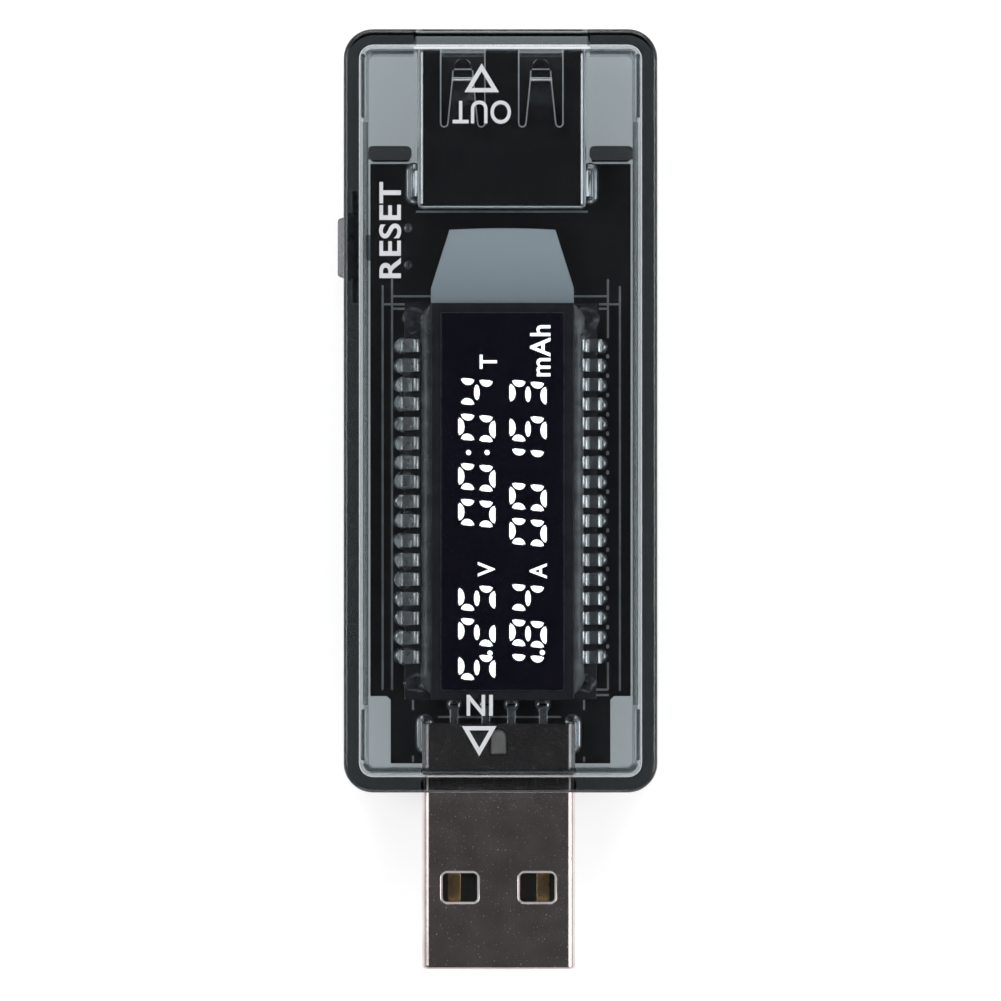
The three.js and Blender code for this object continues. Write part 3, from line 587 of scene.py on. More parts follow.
def lettering(name, text, height, weight):
    """Letters standing on the XY plane, height tall, centred on the origin: a mesh of its own."""
    curve = bpy.data.curves.new(name, "FONT")
    curve.body = text
    curve.size = 1.0
    curve.offset = weight
    curve.extrude = 0.01
    curve.space_character = 1.06
    words = placed(name, curve)
    mesh = evaluated(words)
    bpy.data.objects.remove(words)
    xs, ys = [v.co.x for v in mesh.vertices], [v.co.y for v in mesh.vertices]
    scale = height / (max(ys) - min(ys))
    middle = ((max(xs) + min(xs)) / 2, (max(ys) + min(ys)) / 2)
    for v in mesh.vertices:
        v.co.x, v.co.y = (v.co.x - middle[0]) * scale, (v.co.y - middle[1]) * scale
    return mesh, (max(xs) - min(xs)) * scale


def print_letters(name, text, height, width, centre, turn, z, thickness, slot, weight):
    """Lettering of a given height and width, turned by quarter turns, lying at z."""
    mesh, natural = lettering(name, text, height, weight)
    c, s = (1, 0, -1, 0)[turn], (0, 1, 0, -1)[turn]
    for v in mesh.vertices:
        u, w = v.co.x * width / natural, v.co.y
        v.co = Vector((centre[0] + c * u - s * w, centre[1] + s * u + c * w,
                       z + (thickness if v.co.z > 0 else 0))) * MM
    face_outwards(mesh, weld=1e-8)
    done(placed(name, mesh), slot)


def print_triangle(name, x, base_y, tip_y):
    """An outlined arrowhead."""
    half, stroke, rise = 1.35, 0.33, tip_y - base_y
    slant, up = hypot(half, rise), 1 if rise > 0 else -1
    inner_half, inner_base = half - stroke * (slant + half) / abs(rise), base_y + stroke * up
    outer = [(x - half, base_y), (x + half, base_y), (x, tip_y)]
    inner = [(x - inner_half, inner_base), (x + inner_half, inner_base), (x, tip_y - stroke * slant / half * up)]
    rings = [at_z(outer, INK_Z), at_z(outer, INK_Z + INK), at_z(inner, INK_Z + INK), at_z(inner, INK_Z)]
    done(loft(name, rings, closed=True), "white_ink")


print_letters("label_out", "OUT", 1.8, 4.55, (-1.46, 23.3), 2, INK_Z, INK, "white_ink", 0.012)
print_letters("label_in", "IN", 1.64, 2.05, (-1.62, -22.98), 2, INK_Z, INK, "white_ink", 0.018)
print_letters("label_reset", "RESET", 1.72, 7.5, (-8.61, 14.1), 1, INK_Z, INK, "white_ink", 0.018)
print_triangle("arrow_out", -1.47, 24.85, 27.1)
print_triangle("arrow_in", -1.66, -24.6, -26.95)


# -------------------- USB-A plug
SHEET = 0.3
CONTACTS = (-3.5, -1, 1, 3.5)
CONTACT = 0.18              # thickness of a contact's strip
PLUG_TIP, PLUG_REAR = PLUG.low.y, -24.5
PLUG_LEG_Y, SOCKET_LEG_Y = -23.05, 17.15
PLUG_TAB = {"x": 5.85, "y": -25.35, "length": 1.9, "pad": 1.4}
SOCKET_TAB = {"x": 6.95, "y": 17.95, "length": 2.1, "pad": 1.3}
PLUG_HOLE = {"x": 3.03, "y": -37.3, "width": 2.75, "length": 2.3, "corner": 0.35}
TONGUE_TOP = PLUG_TUBE_Z[0] + SHEET + 1.95
BLOCK_END = -24.7           # where the plug's insulator ends inside the case


def lug_outline(half, base_y, steps=12):
    """A window or lug seen from above: straight across at base_y, round at its other end."""
    x, centre_y = PLUG.mid.x, -25.55
    return [(x - half, base_y), (x + half, base_y)] + \
        [(x + half * cos(pi * k / steps), centre_y + half * sin(pi * k / steps)) for k in range(steps + 1)]


def build_plug_shell():
    z0, z1 = PLUG_TUBE_Z
    roll, straight = 0.07, PLUG_TIP + 0.31      # the open end is rolled in a little

    def ring(inset, y):
        return at_y(rounded(grown(PLUG_TUBE_X, -inset), grown(PLUG_TUBE_Z, -inset), max(0.6 - inset, 0.1), 8), y)

    shell = loft("plug_sheet", [
        ring(0, PLUG_REAR), ring(0, straight), ring(roll * 0.3, PLUG_TIP + roll + 0.06),
        ring(roll + 0.04, PLUG_TIP + 0.02), ring(roll + SHEET / 3, PLUG_TIP),
        ring(SHEET + roll * 0.6, PLUG_TIP + 0.04), ring(SHEET, straight), ring(SHEET, PLUG_REAR)], closed=True)
    flare = [(z0 - 0.1, 0.2), (z0 + 0.02, 0.1), (z0 + 0.12, 0), (z1 - 0.2, 0), (z1 - 0.1, 0.04),
             (z1 - 0.03, 0.11), (z1, 0.19), (z1 + 0.1, 0.5)]

    def hole(side, extra):
        x = about(PLUG.mid.x + side * PLUG_HOLE["x"], PLUG_HOLE["width"])
        y = about(PLUG_HOLE["y"], PLUG_HOLE["length"])
        return rounded(grown(x, extra), grown(y, extra), PLUG_HOLE["corner"] + extra, 6)

    cutters = [loft("punched_hole", [at_z(hole(side, extra), z) for z, extra in flare]) for side in (-1, 1)]
    arch = lug_outline(0.7, -26.95)
    cutters.append(loft("lug_window", [at_z(arch, z1 - PAST), at_z(arch, z1 + PAST)]))
    cutters.append(slab("seam", about(PLUG.mid.x, 0.07), (PLUG_TIP - PAST, -24), (z0 - PAST, z0 + 0.16), 0.02))
    cut(shell, cutters)
    rims = [at_z(hole(side, 0.04), z1 - 0.045) for side in (-1, 1)]
    rims = [bead("hole_rim", rim + rim[:1], 0.07) for rim in rims]
    # the hole rims take the brighter edge metal, partly painted highlight
    done(merged("plug_hole_rims", rims), "nickel", finish="cut_edge_and_glint")
    tab_y, tab_z = about(PLUG_TAB["y"], PLUG_TAB["length"]), (PLUG.low.z, BOARD_TOP + 1)
    join(shell, [slab("plug_tab", about(PLUG.mid.x + side * PLUG_TAB["x"], SHEET), tab_y, tab_z, 0.1, 0.05)
                 for side in (-1, 1)])
    done(shell, "nickel", ["plug_shell"])


def build_plug_inside():
    z0, top = PLUG_TUBE_Z[0] + SHEET + 0.05, PLUG_TUBE_Z[1]
    x = about(PLUG.mid.x, 11.3)
    tongue = slab("plug_tongue", x, (z0, TONGUE_TOP), (PLUG_TIP + 0.4, BLOCK_END), 0.25, 0.06, place=at_y)
    block_z = (z0, top - SHEET - 0.05)
    join(tongue, [slab("plug_rear_block", x, block_z, (-29.2, BLOCK_END), 0.25, 0.08, place=at_y)])
    cut(tongue, [slab("groove", about(PLUG.mid.x + c, 1.1), (PLUG_TIP + 0.8, -23),
                      (TONGUE_TOP - 0.24, TONGUE_TOP + 0.04), 0.05) for c in CONTACTS])
    done(tongue, "black_plastic", ["plug_insulator"])
    arch = lug_outline(0.62, -26.87)
    small = [(PLUG.mid.x + (px - PLUG.mid.x) * 0.8, -26.1 + (py + 26.1) * 0.85) for px, py in arch]
    lug = loft("plug_lug", [at_z(arch, top - 0.6), at_z(arch, top - 0.22), at_z(small, top - 0.1)])
    done(lug, "white_plastic", finish="lug_plastic")


def build_contacts():
    top = TONGUE_TOP - CONTACT / 2
    for k, c in enumerate(CONTACTS, 1):
        node = Span("plug_contact_%d" % k)
        path = [(node.low.y, top - 0.1), (node.low.y + 0.25, top), (BLOCK_END, top), (-23.55, top)]
        path += bend((-23.4, top - 0.35), 0.35, 90, 0) + [(PLUG_LEG_Y, node.low.z + 0.1)]
        x = PLUG.mid.x + c
        strip = ribbon("plug_contact_blade_%d" % k, path[:3], CONTACT, about(x, 1), at_x)
        leg = ribbon("plug_contact_leg_%d" % k, path[2:], CONTACT, about(x, 0.64), at_x)
        done(strip, "gold", ["plug_contact_%d" % k])
        done(leg, "gold", finish="tin")
        node = Span("socket_contact_%d" % k)
        z, far = node.high.z - CONTACT / 2, node.high.y
        path = [(SOCKET_LEG_Y, node.low.z + 0.1), (SOCKET_LEG_Y, z - 0.3)]
        path += bend((SOCKET_LEG_Y + 0.3, z - 0.3), 0.3, 180, 90)[1:]
        path += [(20.5, z), (23, z - 0.12), (24.4, z - 0.62), (25.2, z - 0.72)]
        path += [(far - 0.3, z - 0.3), (far, z - 0.05)]
        blade = ribbon("socket_contact_blade_%d" % k, path, CONTACT, about(SOCKET.mid.x + c, 0.9), at_x)
        done(blade, "gold", ["socket_contact_%d" % k])


# -------------------- USB-A socket
SOCKET_REAR, SOCKET_MOUTH = SOCKET.y
SPRINGS = [SOCKET.mid.x + side * 3.05 for side in (-1, 1)]
SPRING_ROOT, SPRING_TIP = 22.2, 27.3
GAP_HALF, GAP_SLOT = 1.725, 0.275   # half-widths of the window round a leaf spring and of its side slots
LEAF = [(21.9, 0, 2.36), (22.6, 0, 2.3), (23.6, 0.08, 2.1), (24.8, 0.26, 1.86), (25.7, 0.45, 1.68),
        (26.02, 0.5, 1.62), (26.1, 0.56, 1.6), (26.62, 0.56, 1.56), (26.72, 0.54, 1.34), (27.0, 0.47, 1.3),
        (27.25, 0.42, 1.16), (27.42, 0.39, 0.86), (27.5, 0.38, 0.5)]    # y, dip and width


def spring_gap(x, roof):
    """The cutter round one leaf spring: a slot down each side, joined past its tip."""
    left, right = x - GAP_HALF + GAP_SLOT, x + GAP_HALF - GAP_SLOT

    def slot_end(centre):
        return bend((centre, SPRING_ROOT + GAP_SLOT), GAP_SLOT, 180, 360, 8)[1:]

    outline = [(x - GAP_HALF, SOCKET_MOUTH + PAST), (x - GAP_HALF, SPRING_ROOT + GAP_SLOT), *slot_end(left),
               (x - 0.775, SPRING_TIP), (x + 0.775, SPRING_TIP), (right - GAP_SLOT, SPRING_ROOT + GAP_SLOT),
               *slot_end(right), (x + GAP_HALF, SOCKET_MOUTH + PAST)]
    return loft("spring_gap", [at_z(outline, roof - 0.6), at_z(outline, roof + PAST)])


def spring_lines(x, roof):
    """The sheared edges of one leaf spring and of the gap round it, and its two creases, as beads of brighter
    metal: the raw cut in part, painted highlight on the edges and creases in part.
    """
    low_end = SPRING_ROOT + GAP_SLOT
    lines = []
    for side in (-1, 1):
        centre = x + side * (GAP_HALF - GAP_SLOT)
        path = [(x + side * GAP_HALF, SOCKET_MOUTH - 0.1, roof)]
        path += [(centre + side * GAP_SLOT * cos(a), low_end - GAP_SLOT * sin(a), roof)
                 for a in (pi * k / 8 for k in range(9))]
        path += [(x + side * w / 2, y, roof - dip + 0.01) for y, dip, w in LEAF if low_end < y < 26.7]
        lines.append(bead("sheared_edge", path, 0.055))
    for y, dip, width in (LEAF[5], LEAF[8]):
        z = roof - dip + 0.01
        lines.append(bead("crease", [(x - width / 2, y, z), (x + width / 2, y, z)], 0.045))
    return lines


def leaf_spring(x, roof):
    """A leaf that dips below the roof, with a creased end and a rounded tip."""
    rings = []
    for y, dip, width in LEAF:
        z1, w = roof - 0.005 - dip, width / 2
        z0 = z1 - SHEET + 0.02
        rings.append([(x - w, y, z0), (x - w, y, z1 - 0.05), (x - w + 0.05, y, z1), (x + w - 0.05, y, z1),
                      (x + w, y, z1 - 0.05), (x + w, y, z0)])
    return loft("leaf_spring", rings)


def build_socket_shell():
    x, (z0, z1) = SOCKET_TUBE_X, SOCKET_TUBE_Z
    rear, mouth = SOCKET_REAR, SOCKET_MOUTH

    def ring(inset, y):
        return at_y(rounded(grown(x, -inset), grown((z0, z1), -inset), max(0.5 - inset, 0.12), 8), y)

    shell = loft("socket_sheet", [
        ring(0.35, rear), ring(0.1, rear + 0.05), ring(0.02, rear + 0.16), ring(0, rear + 0.35),
        ring(0, mouth - 0.06), ring(0.07, mouth), ring(SHEET - 0.05, mouth), ring(SHEET, mouth - 0.06),
        ring(SHEET, rear + SHEET)])
    below = z0 - PAST
    cut(shell, [spring_gap(spring, z1) for spring in SPRINGS] + [
        slab("leaf_window", about(spring, 2.4), (22.62, mouth + PAST), (z1 - 0.6, z1 + PAST), 0.02)
        for spring in SPRINGS] + [
        slab("leg_window", about(SOCKET.mid.x, 9), (16.5, 17.9), (below, z0 + SHEET + 0.05), 0.2),
        slab("seam", about(SOCKET.mid.x - 2, 0.07), (rear + 0.5, mouth + PAST), (below, z0 + 0.14), 0.02)])
    legs = []
    springs = [leaf_spring(spring, z1) for spring in SPRINGS]
    for side in (-1, 1):
        wall, outer = SOCKET.mid.x + side * 6.6, SOCKET.mid.x + side * SOCKET_TAB["x"]
        top = z0 + 0.75
        path = [(wall - side * 0.15, top), (outer - side * 0.25, top), (outer - side * 0.07, top - 0.08),
                (outer, top - 0.25), (outer, SOCKET.low.z)]
        legs.append(ribbon("socket_leg", path, SHEET, about(SOCKET_TAB["y"], SOCKET_TAB["length"])))
    done(merged("socket_sheet_shell", [shell] + springs + legs), "dark_nickel", ["socket_shell"])
    lines = [line for spring in SPRINGS for line in spring_lines(spring, z1)]
    # bright beads along the folds: painted highlight
    lines.append(bead("rear_fold", [(end, rear + 0.02, z1 - 0.2) for end in grown(x, -0.3)], 0.05))
    lines += [bead("side_fold", [(edge, y, z1 - 0.12) for y in (rear + 0.4, mouth - 0.1)], 0.09)
              for edge in grown(x, -0.14)]
    # cut edges, creases and folds in the brighter edge metal: partly painted highlight
    done(merged("socket_edges_and_glints", lines), "dark_nickel", finish="cut_edge_and_glint")


def build_socket_inside():
    z0, z1 = SOCKET_TUBE_Z
    rear = slab("socket_rear_block", grown(SOCKET_TUBE_X, -0.35), (z0 + 0.35, z1 - 0.35),
                (SOCKET_REAR + 0.35, 19), 0.2, 0.06, place=at_y)
    tongue_z = (z1 - SHEET - 0.71 - 1.84, z1 - SHEET - 0.71)
    join(rear, [slab("socket_tongue", about(SOCKET.mid.x, 11.1), tongue_z,
                     (SOCKET_REAR + 1, Span("socket_insulator").high.y), 0.15, 0.12, place=at_y)])
    cut(rear, [slab("contact_slot", about(SOCKET.mid.x + c, 1.1), (tongue_z[0] - 0.6, tongue_z[0] + 0.02),
                    (16.9, 20), 0.03, place=at_y) for c in CONTACTS])
    done(rear, "black_plastic", ["socket_insulator"])


build_plug_shell()
build_plug_inside()
build_contacts()
build_socket_shell()
build_socket_inside()


# -------------------- circuit board
PIN_COUNT, PIN_PITCH, PIN_X, FIRST_PIN = 17, 1.5225, 7.85, 5.11
PIN_YS = [FIRST_PIN - k * PIN_PITCH for k in range(PIN_COUNT)]
LAMP_Y, LAMP_LEG_X = 13.2, 1.27
TERMINAL_X = -7.28
FOIL, SUNK = 0.03, 0.01     # how far a pad stands off the board, and how far pieces sink in
TAB_FILLET = ((0.12, -SUNK), (0.3, 0.07), (0.42, 0.2), (0.5, 0.42))     # inset and rise


def leg_spots():
    """Every through-hole leg: x, y, pad radius."""
    spots = [(side * PIN_X, y, 0.58) for side in (-1, 1) for y in PIN_YS]
    spots += [(PLUG.mid.x + c, PLUG_LEG_Y, 0.62) for c in CONTACTS]
    spots += [(SOCKET.mid.x + c, SOCKET_LEG_Y, 0.62) for c in CONTACTS]
    spots += [(GUIDE.mid.x + side * LAMP_LEG_X, LAMP_Y, 0.5) for side in (-1, 1)]
    return spots + [(TERMINAL_X, y, 0.36) for y in (11.55, 14.45)]


def build_board():
    x1, (y0, y1), (z0, z1) = BOARD.high.x, BOARD.y, BOARD.z
    neck, notch = 8.65, -22.4
    outline = [(x1, y1), (-x1, y1), (-x1, notch), (-neck - 0.3, notch), (-neck, notch - 0.3),
               (-neck, y0), (neck, y0), (neck, notch - 0.3), (neck + 0.3, notch), (x1, notch)]
    done(loft("board_laminate", [at_z(outline, z0), at_z(outline, z1)]), "board", ["circuit_board"])
    # each face: its pads' outer height, which way is out, and the solder's foot, rise and top
    faces = ((z1 + FOIL, 1, 0.86, 0.32, 0.42), (z0 - FOIL, -1, 0.9, -0.5, 0.3))

    def pad(x, y, outer, out, corner, steps=6):
        return slab("pad", x, y, sorted((outer, outer - out * (FOIL + SUNK))), corner, steps=steps)

    joints = []
    for x, y, r in leg_spots():
        for outer, out, foot, rise, top in faces:
            joints.append(pad(about(x, 2 * r), about(y, 2 * r), outer, out, r * 0.98, 5))
            joints.append(dome("joint", x, y, outer - out * SUNK, r * foot, rise, top))
    for mid, tab in ((PLUG.mid.x, PLUG_TAB), (SOCKET.mid.x, SOCKET_TAB)):
        for side in (-1, 1):
            x, y = about(mid + side * tab["x"], tab["pad"]), about(tab["y"], tab["length"] + 1.2)
            corner = tab["pad"] / 2 - 0.01
            for outer, out in (face[:2] for face in faces):
                joints.append(pad(x, y, outer, out, corner))
                joints.append(loft("tab_joint", [
                    at_z(rounded(grown(x, -inset), grown(y, -inset), corner - inset), outer + out * rise)
                    for inset, rise in TAB_FILLET]))
    done(merged("solder_joints", joints), "tin")


def build_silkscreen():
    """Printed outlines of the plug, the socket and the display module."""
    z, stroke = (BOARD_TOP - 0.005, BOARD_TOP + 0.015), 0.17
    (left, inner_left), (inner_right, right) = (-9.28, -8.54), (8.46, 9.4)
    bottom, top = GLASS.low.y + 0.68, GLASS.high.y
    upright = [(left, bottom, 9.95), (inner_left, bottom, 10.42), (right, bottom - 0.08, 9.87),
               (inner_right, 5.79, 10.42), (inner_right, bottom, -19.73),
               (6.58, -23.49, -22.32), (6.58, -27.6, -27.17), (-6.89, -23.49, -22.63), (-6.89, -27.6, -27.09)]
    level = [(9.08, inner_left, -5.25), (9.08, 5.79, inner_right), (top, left + 0.1, -7.52), (top, 7.75, right),
             (8.1, inner_left, -7.52), (8.1, 7.75, inner_right), (-21.89, 6.5, inner_right),
             (-22.32, 6.26, inner_right + 0.08), (-24.04, -4.93, 4.78), (15.74, -6.66, 6.89)]
    pieces = [slab("line", about(x, stroke), (low, high), z, 0.02, steps=2) for x, low, high in upright]
    pieces += [slab("line", (low, high), about(y, stroke), z, 0.02, steps=2) for y, low, high in level]
    pieces += [slab("tick", about(inner_right - 0.02, 0.24), about(y - PIN_PITCH / 2, 0.34), z, 0.1, steps=3)
               for y in PIN_YS[:-1]]
    done(merged("board_silkscreen", pieces), "white_ink", finish="faint_ink")


build_board()
build_silkscreen()


# -------------------- display
def build_glass():
    top = GLASS.high.z
    done(slab("front_glass_pane", GLASS.x, GLASS.y, (GLASS.low.z + 0.01, top), 0.1, 0.07, 3),
         "display_glass", ["lcd_front_glass"])
    done(slab("rear_glass_pane", LEDGE.x, LEDGE.y, LEDGE.z, 0.1, 0.05, 3), "display_glass", ["lcd_rear_glass"])
    done(slab("front_polarizer_film", VIEW.x, VIEW.y, VIEW.z, 0.12, 0.03, 3), "polarizer", ["lcd_front_polarizer"])
    rim = [at_z(rounded(grown(VIEW.x, g), grown(VIEW.y, g), 0.12 + g, 3), level)
           for g, level in ((0.02, top - 0.01), (0.02, top + 0.02), (0.1, top + 0.02), (0.1, top - 0.01))]
    done(loft("film_border", rim, closed=True), "polarizer", finish="film_edge")


def half_moon(length, depth, taper, steps=8):
    """A segment lying along X: flat at Y = 0, bulging to -depth, its ends cut back by taper."""
    half, root = length / 2, -depth * 0.12
    bulge = [(half * cos(pi * k / steps), -depth * sin(pi * k / steps) ** 0.9) for k in range(steps - 1, 0, -1)]
    return [(taper - half, 0), (half - taper, 0), (-half, root), *bulge, (half, root)]


def lens(length, depth, steps=10):
    turns = [2 * pi * k / steps for k in range(steps)]
    return [(length / 2 * cos(a), depth / 2 * sin(a)) for a in turns]


DIGIT_H, DIGIT_W, SLANT = 2.92, 2.05, 0.09


def segment_outlines():
    """The seven segments of a digit centred on the origin, upright, before slanting."""
    w, h, rise = DIGIT_W / 2, DIGIT_H / 2, 0.72
    flat = half_moon(1.38, 0.50, 0.12)
    side = half_moon(1.04, 0.52, 0.14)
    shapes = {"a": [(x, h + y) for x, y in flat], "d": [(x, -h - y) for x, y in flat], "g": lens(1.24, 0.46)}
    for key, way, middle in (("b", 1, rise), ("c", 1, -rise), ("f", -1, rise), ("e", -1, -rise)):
        shapes[key] = [(way * (w + y), x + middle) for x, y in side]
    return shapes


LIT = {"0": "abcdef", "1": "bc", "2": "abged", "3": "abgcd", "4": "fgbc", "5": "afgcd", "8": "abcdefg"}
LINES = (
    (-2.0, "5250004", (-20.05, -17.3, -14.64, -7.99, -5.2, -1.33, 1.45)),
    (2.0, "18400153", (-20.1, -17.4, -14.64, -9.48, -6.73, -4.05, -1.41, 1.3)),
)       # each line's place across the view, its figures, and how far along each stands
POINTS = ((-0.82, -18.92), (-2.5, -3.25), (-1.05, -3.25), (3.27, -18.88))
UNITS = (("lit_volt", "V", 1.35, 1.15, -1.1, -12.37), ("lit_clock", "T", 1.35, 1.1, -0.95, 3.84),
         ("lit_ampere", "A", 1.35, 1.2, 2.95, -12.5), ("lit_charge", "mAh", 1.6, 4.0, 3.1, 4.7))


def build_readout():
    """Lit segments in two lines that run along Y, the top of each figure towards -X."""
    low, high = VIEW.high.z - 0.005, VIEW.high.z + 0.015
    shapes = segment_outlines()
    placings = [(shapes[key], VIEW.mid.x + across, y)
                for across, figures, ys in LINES for figure, y in zip(figures, ys) for key in LIT[figure]]
    placings += [(lens(0.42, 0.42), x, y) for x, y in POINTS]
    pieces = [loft("lit", [at_z([(x - v, y + u + SLANT * v) for u, v in outline], z) for z in (low, high)])
              for outline, x, y in placings]
    done(merged("lit_readout", pieces), "lit_segments")
    for name, text, height, width, x, y in UNITS:
        print_letters(name, text, height, width, (x, y), 1, low, high - low, "lit_segments", 0.015)


def build_glue():
    """Clear glue along both ledges, uneven, swelling into a blob at each end."""
    dice = Random(7)
    z = LEDGE.high.z
    for side in (-1, 1):
        near = GLASS.high.x if side > 0 else -GLASS.low.x
        rings = []
        for t in (k / 60 for k in range(61)):
            y = -22.1 + 30.4 * t
            end = min(1, sin(pi * t) * 9) ** 0.6
            swell = 0.16 * (max(0, 1 - t * 9) + max(0, 1 - (1 - t) * 9)) + 0.03 * dice.random()
            far = near + (0.72 + swell + 0.05 * dice.random()) * max(end, 0.08)
            height = (0.30 + swell) * max(end, 0.1)
            profile = [(near + 0.02, z + 0.005), (far, z + 0.005), (far - 0.08, z + height * 0.45),
                       (near + (far - near) * 0.6, z + height * 0.85), (near + (far - near) * 0.3, z + height),
                       (near + 0.02, z + height * 0.92)]
            rings.append([(side * px, y, pz) for px, pz in profile])
        # the left run takes the darker copy of glue, painted shade on that side
        name, finish = ("right", "glue") if side > 0 else ("left", "shaded_glue")
        done(loft("glue_run_" + name, rings), "glue", ["glue_bead_" + name], angle=60, finish=finish)


def lump(x, y, z, wide, long, tall, rows, around, ripple=(0, 0), phase=(0, 0)):
    """A low mound of glue standing at z, with an uneven outline where it ripples."""
    turns = [2 * pi * i / around for i in range(around)]
    return loft("lump", [[(x + (wide * cos(a) + ripple[0] * sin(5 * t + phase[0])) * cos(t),
                           y + (long * cos(a) + ripple[1] * sin(3 * t + phase[1])) * sin(t), z + tall * sin(a))
                          for t in turns] for a in (pi / 2 * k / (rows - 0.6) for k in range(rows))])


def build_drops():
    """Clear glue that has run over the left row of clips, and the blobs at the ends of both rows."""
    dice = Random(11)
    z = LEDGE.high.z
    lumps = []
    for y in PIN_YS:
        x, y = -7.35 + 0.12 * (dice.random() - 0.5), y + 0.3 * (dice.random() - 0.5)
        wide, long, tall = 0.75 + 0.15 * dice.random(), 0.55 + 0.3 * dice.random(), 0.36 + 0.1 * dice.random()
        lumps.append(lump(x, y, z - 0.05, wide, long, tall * 1.2, 7, 18))
    done(merged("glue_over_clips", lumps), "glue", finish="clear_glue", angle=60)
    blobs = [lump(x, y, z + 0.005, wide, long, 0.34, 8, 22, (0.09, 0.12), (1 if x > 0 else -1, y))
             for x, y, wide, long in ((6.75, 7.1, 0.95, 1.15), (-6.7, 7.15, 0.95, 1.1), (6.4, 5.9, 0.6, 0.7),
                                      (6.6, -21.3, 0.85, 0.8), (-6.65, -21.3, 0.9, 0.75))]
    done(merged("glue_blobs", blobs), "glue", finish="clear_glue", angle=60)


def build_pins():
    """Two rows of bent clips, each gripping the ledge of the rear glass."""
    low, z = LEDGE.z
    back = PIN_X - 0.02
    upper = [(6.36, z + 0.12)] + bend((6.60, z + 0.14), 0.23, 165, 25, 7)
    upper += [(6.90, z + 0.13), (7.0, z + 0.12), (7.5, z + 0.12)]
    upper += bend((back - 0.22, z - 0.1), 0.22, 90, 0, 6) + [(back, low - 0.45)]
    lower = [(6.5, low - 0.1), (back - 0.2, low - 0.1), (back - 0.02, low - 0.18)]
    leg = [(PIN_X, low - 0.4), (PIN_X, BOARD.low.z - 0.45)]
    parts = ((upper, 0.2, 1.0), (lower, 0.16, 0.6), (leg, 0.16, 0.45))      # path, thickness and width
    # the left row wears the darker copy of tin, painted shade on that side
    for side, node, finish in ((-1, "display_pins_left", "shaded_tin"), (1, "display_pins_right", "tin")):
        clips = [ribbon("clip", [(side * px, pz) for px, pz in path], thickness, about(y, width))
                 for y in PIN_YS for path, thickness, width in parts]
        done(merged(node + "_bent", clips), "tin", [node], angle=50, finish=finish)


def build_guide():
    half, shoulder, end, tail, bow = GUIDE.size.x / 2, 9.6, 14.2, 4.15, 0.12
    x, low = GUIDE.mid.x, GUIDE.low.y

    def outline(inset):
        h, t = half - inset, tail - inset
        points = [(x - h, low + inset), (x + h, low + inset), (x + h, shoulder), (x + t, end - inset)]
        points += [(x + t * (1 - k / 5), end - inset + bow * (1 - (1 - k / 5) ** 2)) for k in range(1, 10)]
        return points + [(x - t, end - inset), (x - h, shoulder)]

    z0, z1 = GUIDE.z
    body = loft("guide_slab", [at_z(outline(inset), z) for inset, z in (
        (0.08, z0), (0, z0 + 0.08), (0, z1 - 0.1), (0.03, z1 - 0.03), (0.1, z1))])
    cut(body, [slab("lamp_pocket", about(x, 3.2), about(LAMP_Y, 1.4), (z0 - PAST, z0 + 1.5), 0.05)])
    done(body, "white_plastic", ["light_guide"])
    lamp = [slab("lamp_body", about(x, 3), about(LAMP_Y, 1.2), (z0, z0 + 1.4), 0.15, 0.06)]
    lamp += [slab("lamp_leg", about(x + side * LAMP_LEG_X, 0.4), about(LAMP_Y, 0.4),
                  (Span("backlight_lamp").low.z, z0 + 0.1), 0.05) for side in (-1, 1)]
    done(merged("lamp", lamp), "white_plastic", ["backlight_lamp"])


build_glass()
build_readout()
build_glue()
build_drops()
build_pins()
build_guide()


# -------------------- reset button and switch
def build_button():
    taper, outer, flange_x = 0.3, BUTTON.low.x, BUTTON.high.x - FLANGE

    def ring(inset, x):
        y, z = about(BUTTON.mid.y, BUTTON_LENGTH), about(BUTTON.mid.z, BUTTON_HEIGHT)
        return at_x(rounded(grown(y, -inset), grown(z, -min(inset, 0.2)), 0.2, 5), x)

    cap = loft("button_cap", [ring(inset, x) for inset, x in (
        (0, flange_x + 0.1), (0.1, CASE_X[0]), (taper - 0.05, outer + 0.16), (taper, outer + 0.08),
        (taper + 0.08, outer + 0.02), (taper + 0.2, outer))])
    join(cap, [slab("button_flange", BUTTON.y, BUTTON.z, (flange_x, BUTTON.high.x), 0.3, 0.06, place=at_x)])
    done(cap, "button_plastic", ["reset_button"], body="button")


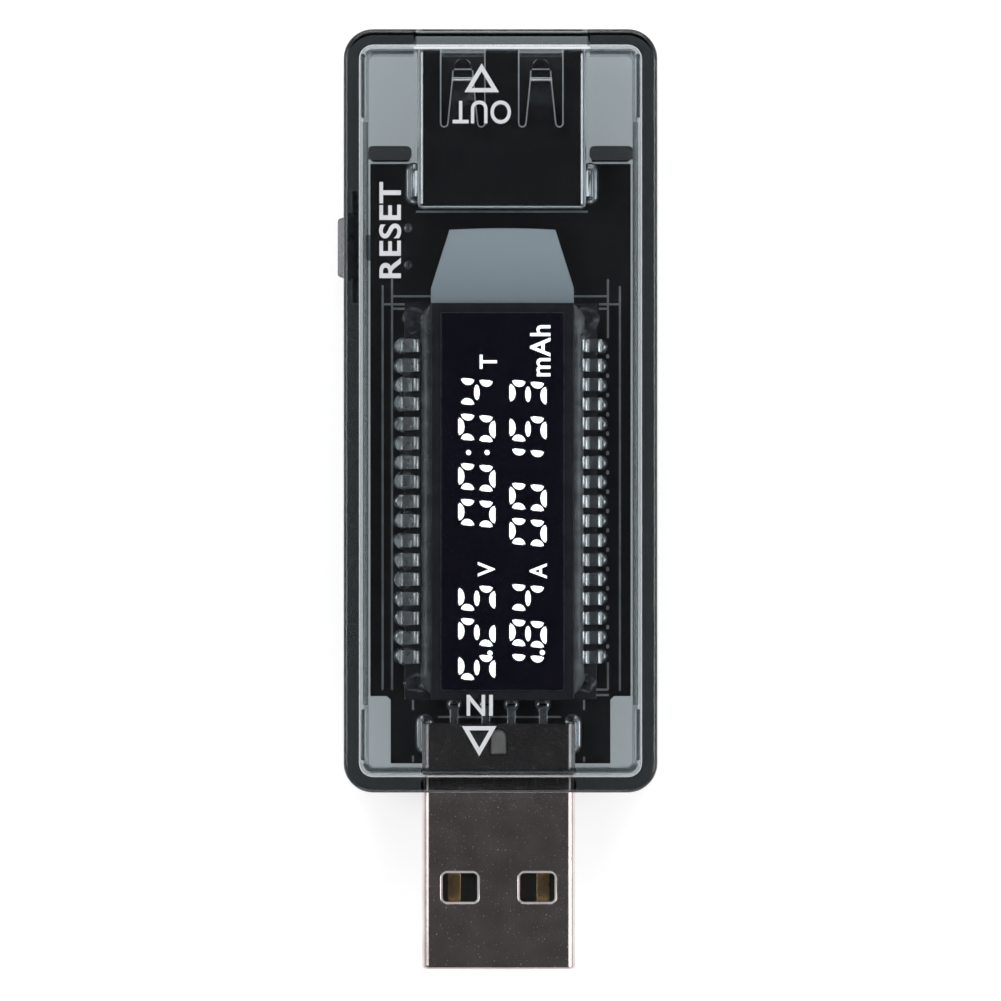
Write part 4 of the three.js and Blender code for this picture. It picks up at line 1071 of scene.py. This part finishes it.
def build_switch():
    housing = slab("switch_case", SWITCH.x, SWITCH.y, SWITCH.z, 0.15, 0.08)
    cut(housing, [slab("channel", about(BUTTON.mid.y, 2.2), about(BUTTON.mid.z, 1.1), (SWITCH.low.x - PAST, -8.4),
                       0.1, place=at_x)])
    done(housing, "black_plastic", ["switch_housing"])
    sheet = Span("switch_frame")
    (y0, y1), (z0, z1) = sheet.y, sheet.z
    path = [(y0 + 0.1, z1), (y0 + 0.1, z0 + 0.25), (y0 + 0.25, z0 + 0.1), (y1 - 0.25, z0 + 0.1),
            (y1 - 0.1, z0 + 0.25), (y1 - 0.1, z1)]
    done(ribbon("switch_sheet", path, 0.18, sheet.x, at_x), "nickel", ["switch_frame"])
    pusher = Span("switch_plunger")
    done(slab("plunger_body", pusher.y, pusher.z, pusher.x, 0.12, 0.08, place=at_x),
         "white_plastic", ["switch_plunger"], body="plunger")
    disc = Span("switch_dome")
    bowed = [(disc.high.x - 0.05 - 0.5 * (1 - t * t), disc.mid.y + t) for t in (k / 6 - 1 for k in range(13))]
    done(ribbon("dome_strip", bowed, 0.09, disc.z, at_z), "nickel", ["switch_dome"])
    for k in (1, 2):
        leg = Span("switch_terminal_%d" % k)
        z = leg.low.z
        path = [(leg.low.x, z + 0.15), (-7.45, z + 0.15), (TERMINAL_X - 0.02, z + 0.25), (TERMINAL_X, z + 0.45),
                (TERMINAL_X, leg.high.z)]
        done(ribbon("terminal_%d" % k, path, 0.28, about(leg.mid.y, 0.5)), "tin", ["switch_terminal_%d" % k])


# -------------------- parts on the board's underside
def lead(part, side, along, width, place=at_y):
    """A gull-wing lead on one side of a package, at along; place is at_x for the sides that face Y."""
    across = part.x if place is at_y else part.y
    high, low = part.low.z + part.size.z * 0.5, part.high.z - 0.06
    path = [(-0.1, high), (0.2, high), (0.38, high + (low - high) * 0.5), (0.5, low), (0.75, low)]
    return ribbon("lead", [(across[side > 0] + side * d, z) for d, z in path], 0.12, about(along, width), place)


def build_package(node, part, leads):
    body = slab(node + "_body", part.x, part.y, part.z, 0.12, 0.1, 3)
    cut(body, [dome("dot", part.low.x + 0.8, part.high.y - 0.8, part.low.z - 0.01, 0.3, 0.1, 0.6)])
    done(body, "black_plastic", [node])
    done(merged(node + "_leads", leads), "tin")


def build_underside():
    chip = Span("microcontroller")
    rows = [-2.8 + 0.8 * k for k in range(8)]
    build_package("microcontroller", chip, [
        lead(chip, side, middle + row, 0.3, place) for middle, place in ((chip.mid.y, at_y), (chip.mid.x, at_x))
        for side in (-1, 1) for row in rows])
    for node, count in (("memory_chip", 4), ("voltage_regulator", 3)):
        part = Span(node)
        rows = [part.mid.y + 1.27 * (k - (count - 1) / 2) for k in range(count)]
        build_package(node, part, [lead(part, side, y, 0.4) for side in (-1, 1) for y in rows])
    small = ["%s_%d" % (kind, k) for kind in ("capacitor", "resistor") for k in range(1, 5)]
    for node in small + ["sense_resistor"]:
        part = Span(node)
        y0, y1 = part.y
        cap = min(0.9, part.size.y * 0.22)
        slot = "ceramic" if node.startswith("capacitor") else "black_plastic"
        done(slab(node + "_body", grown(part.x, -0.02), grown(part.y, -cap), grown(part.z, -0.02), 0.06, 0.03, 3),
             slot, [node])
        ends = [slab("end", part.x, y, part.z, 0.1, 0.06, 3)
                for y in ((y0, y0 + cap + 0.02), (y1 - cap - 0.02, y1))]
        done(merged(node + "_ends", ends), "tin")


build_button()
build_switch()
build_underside()
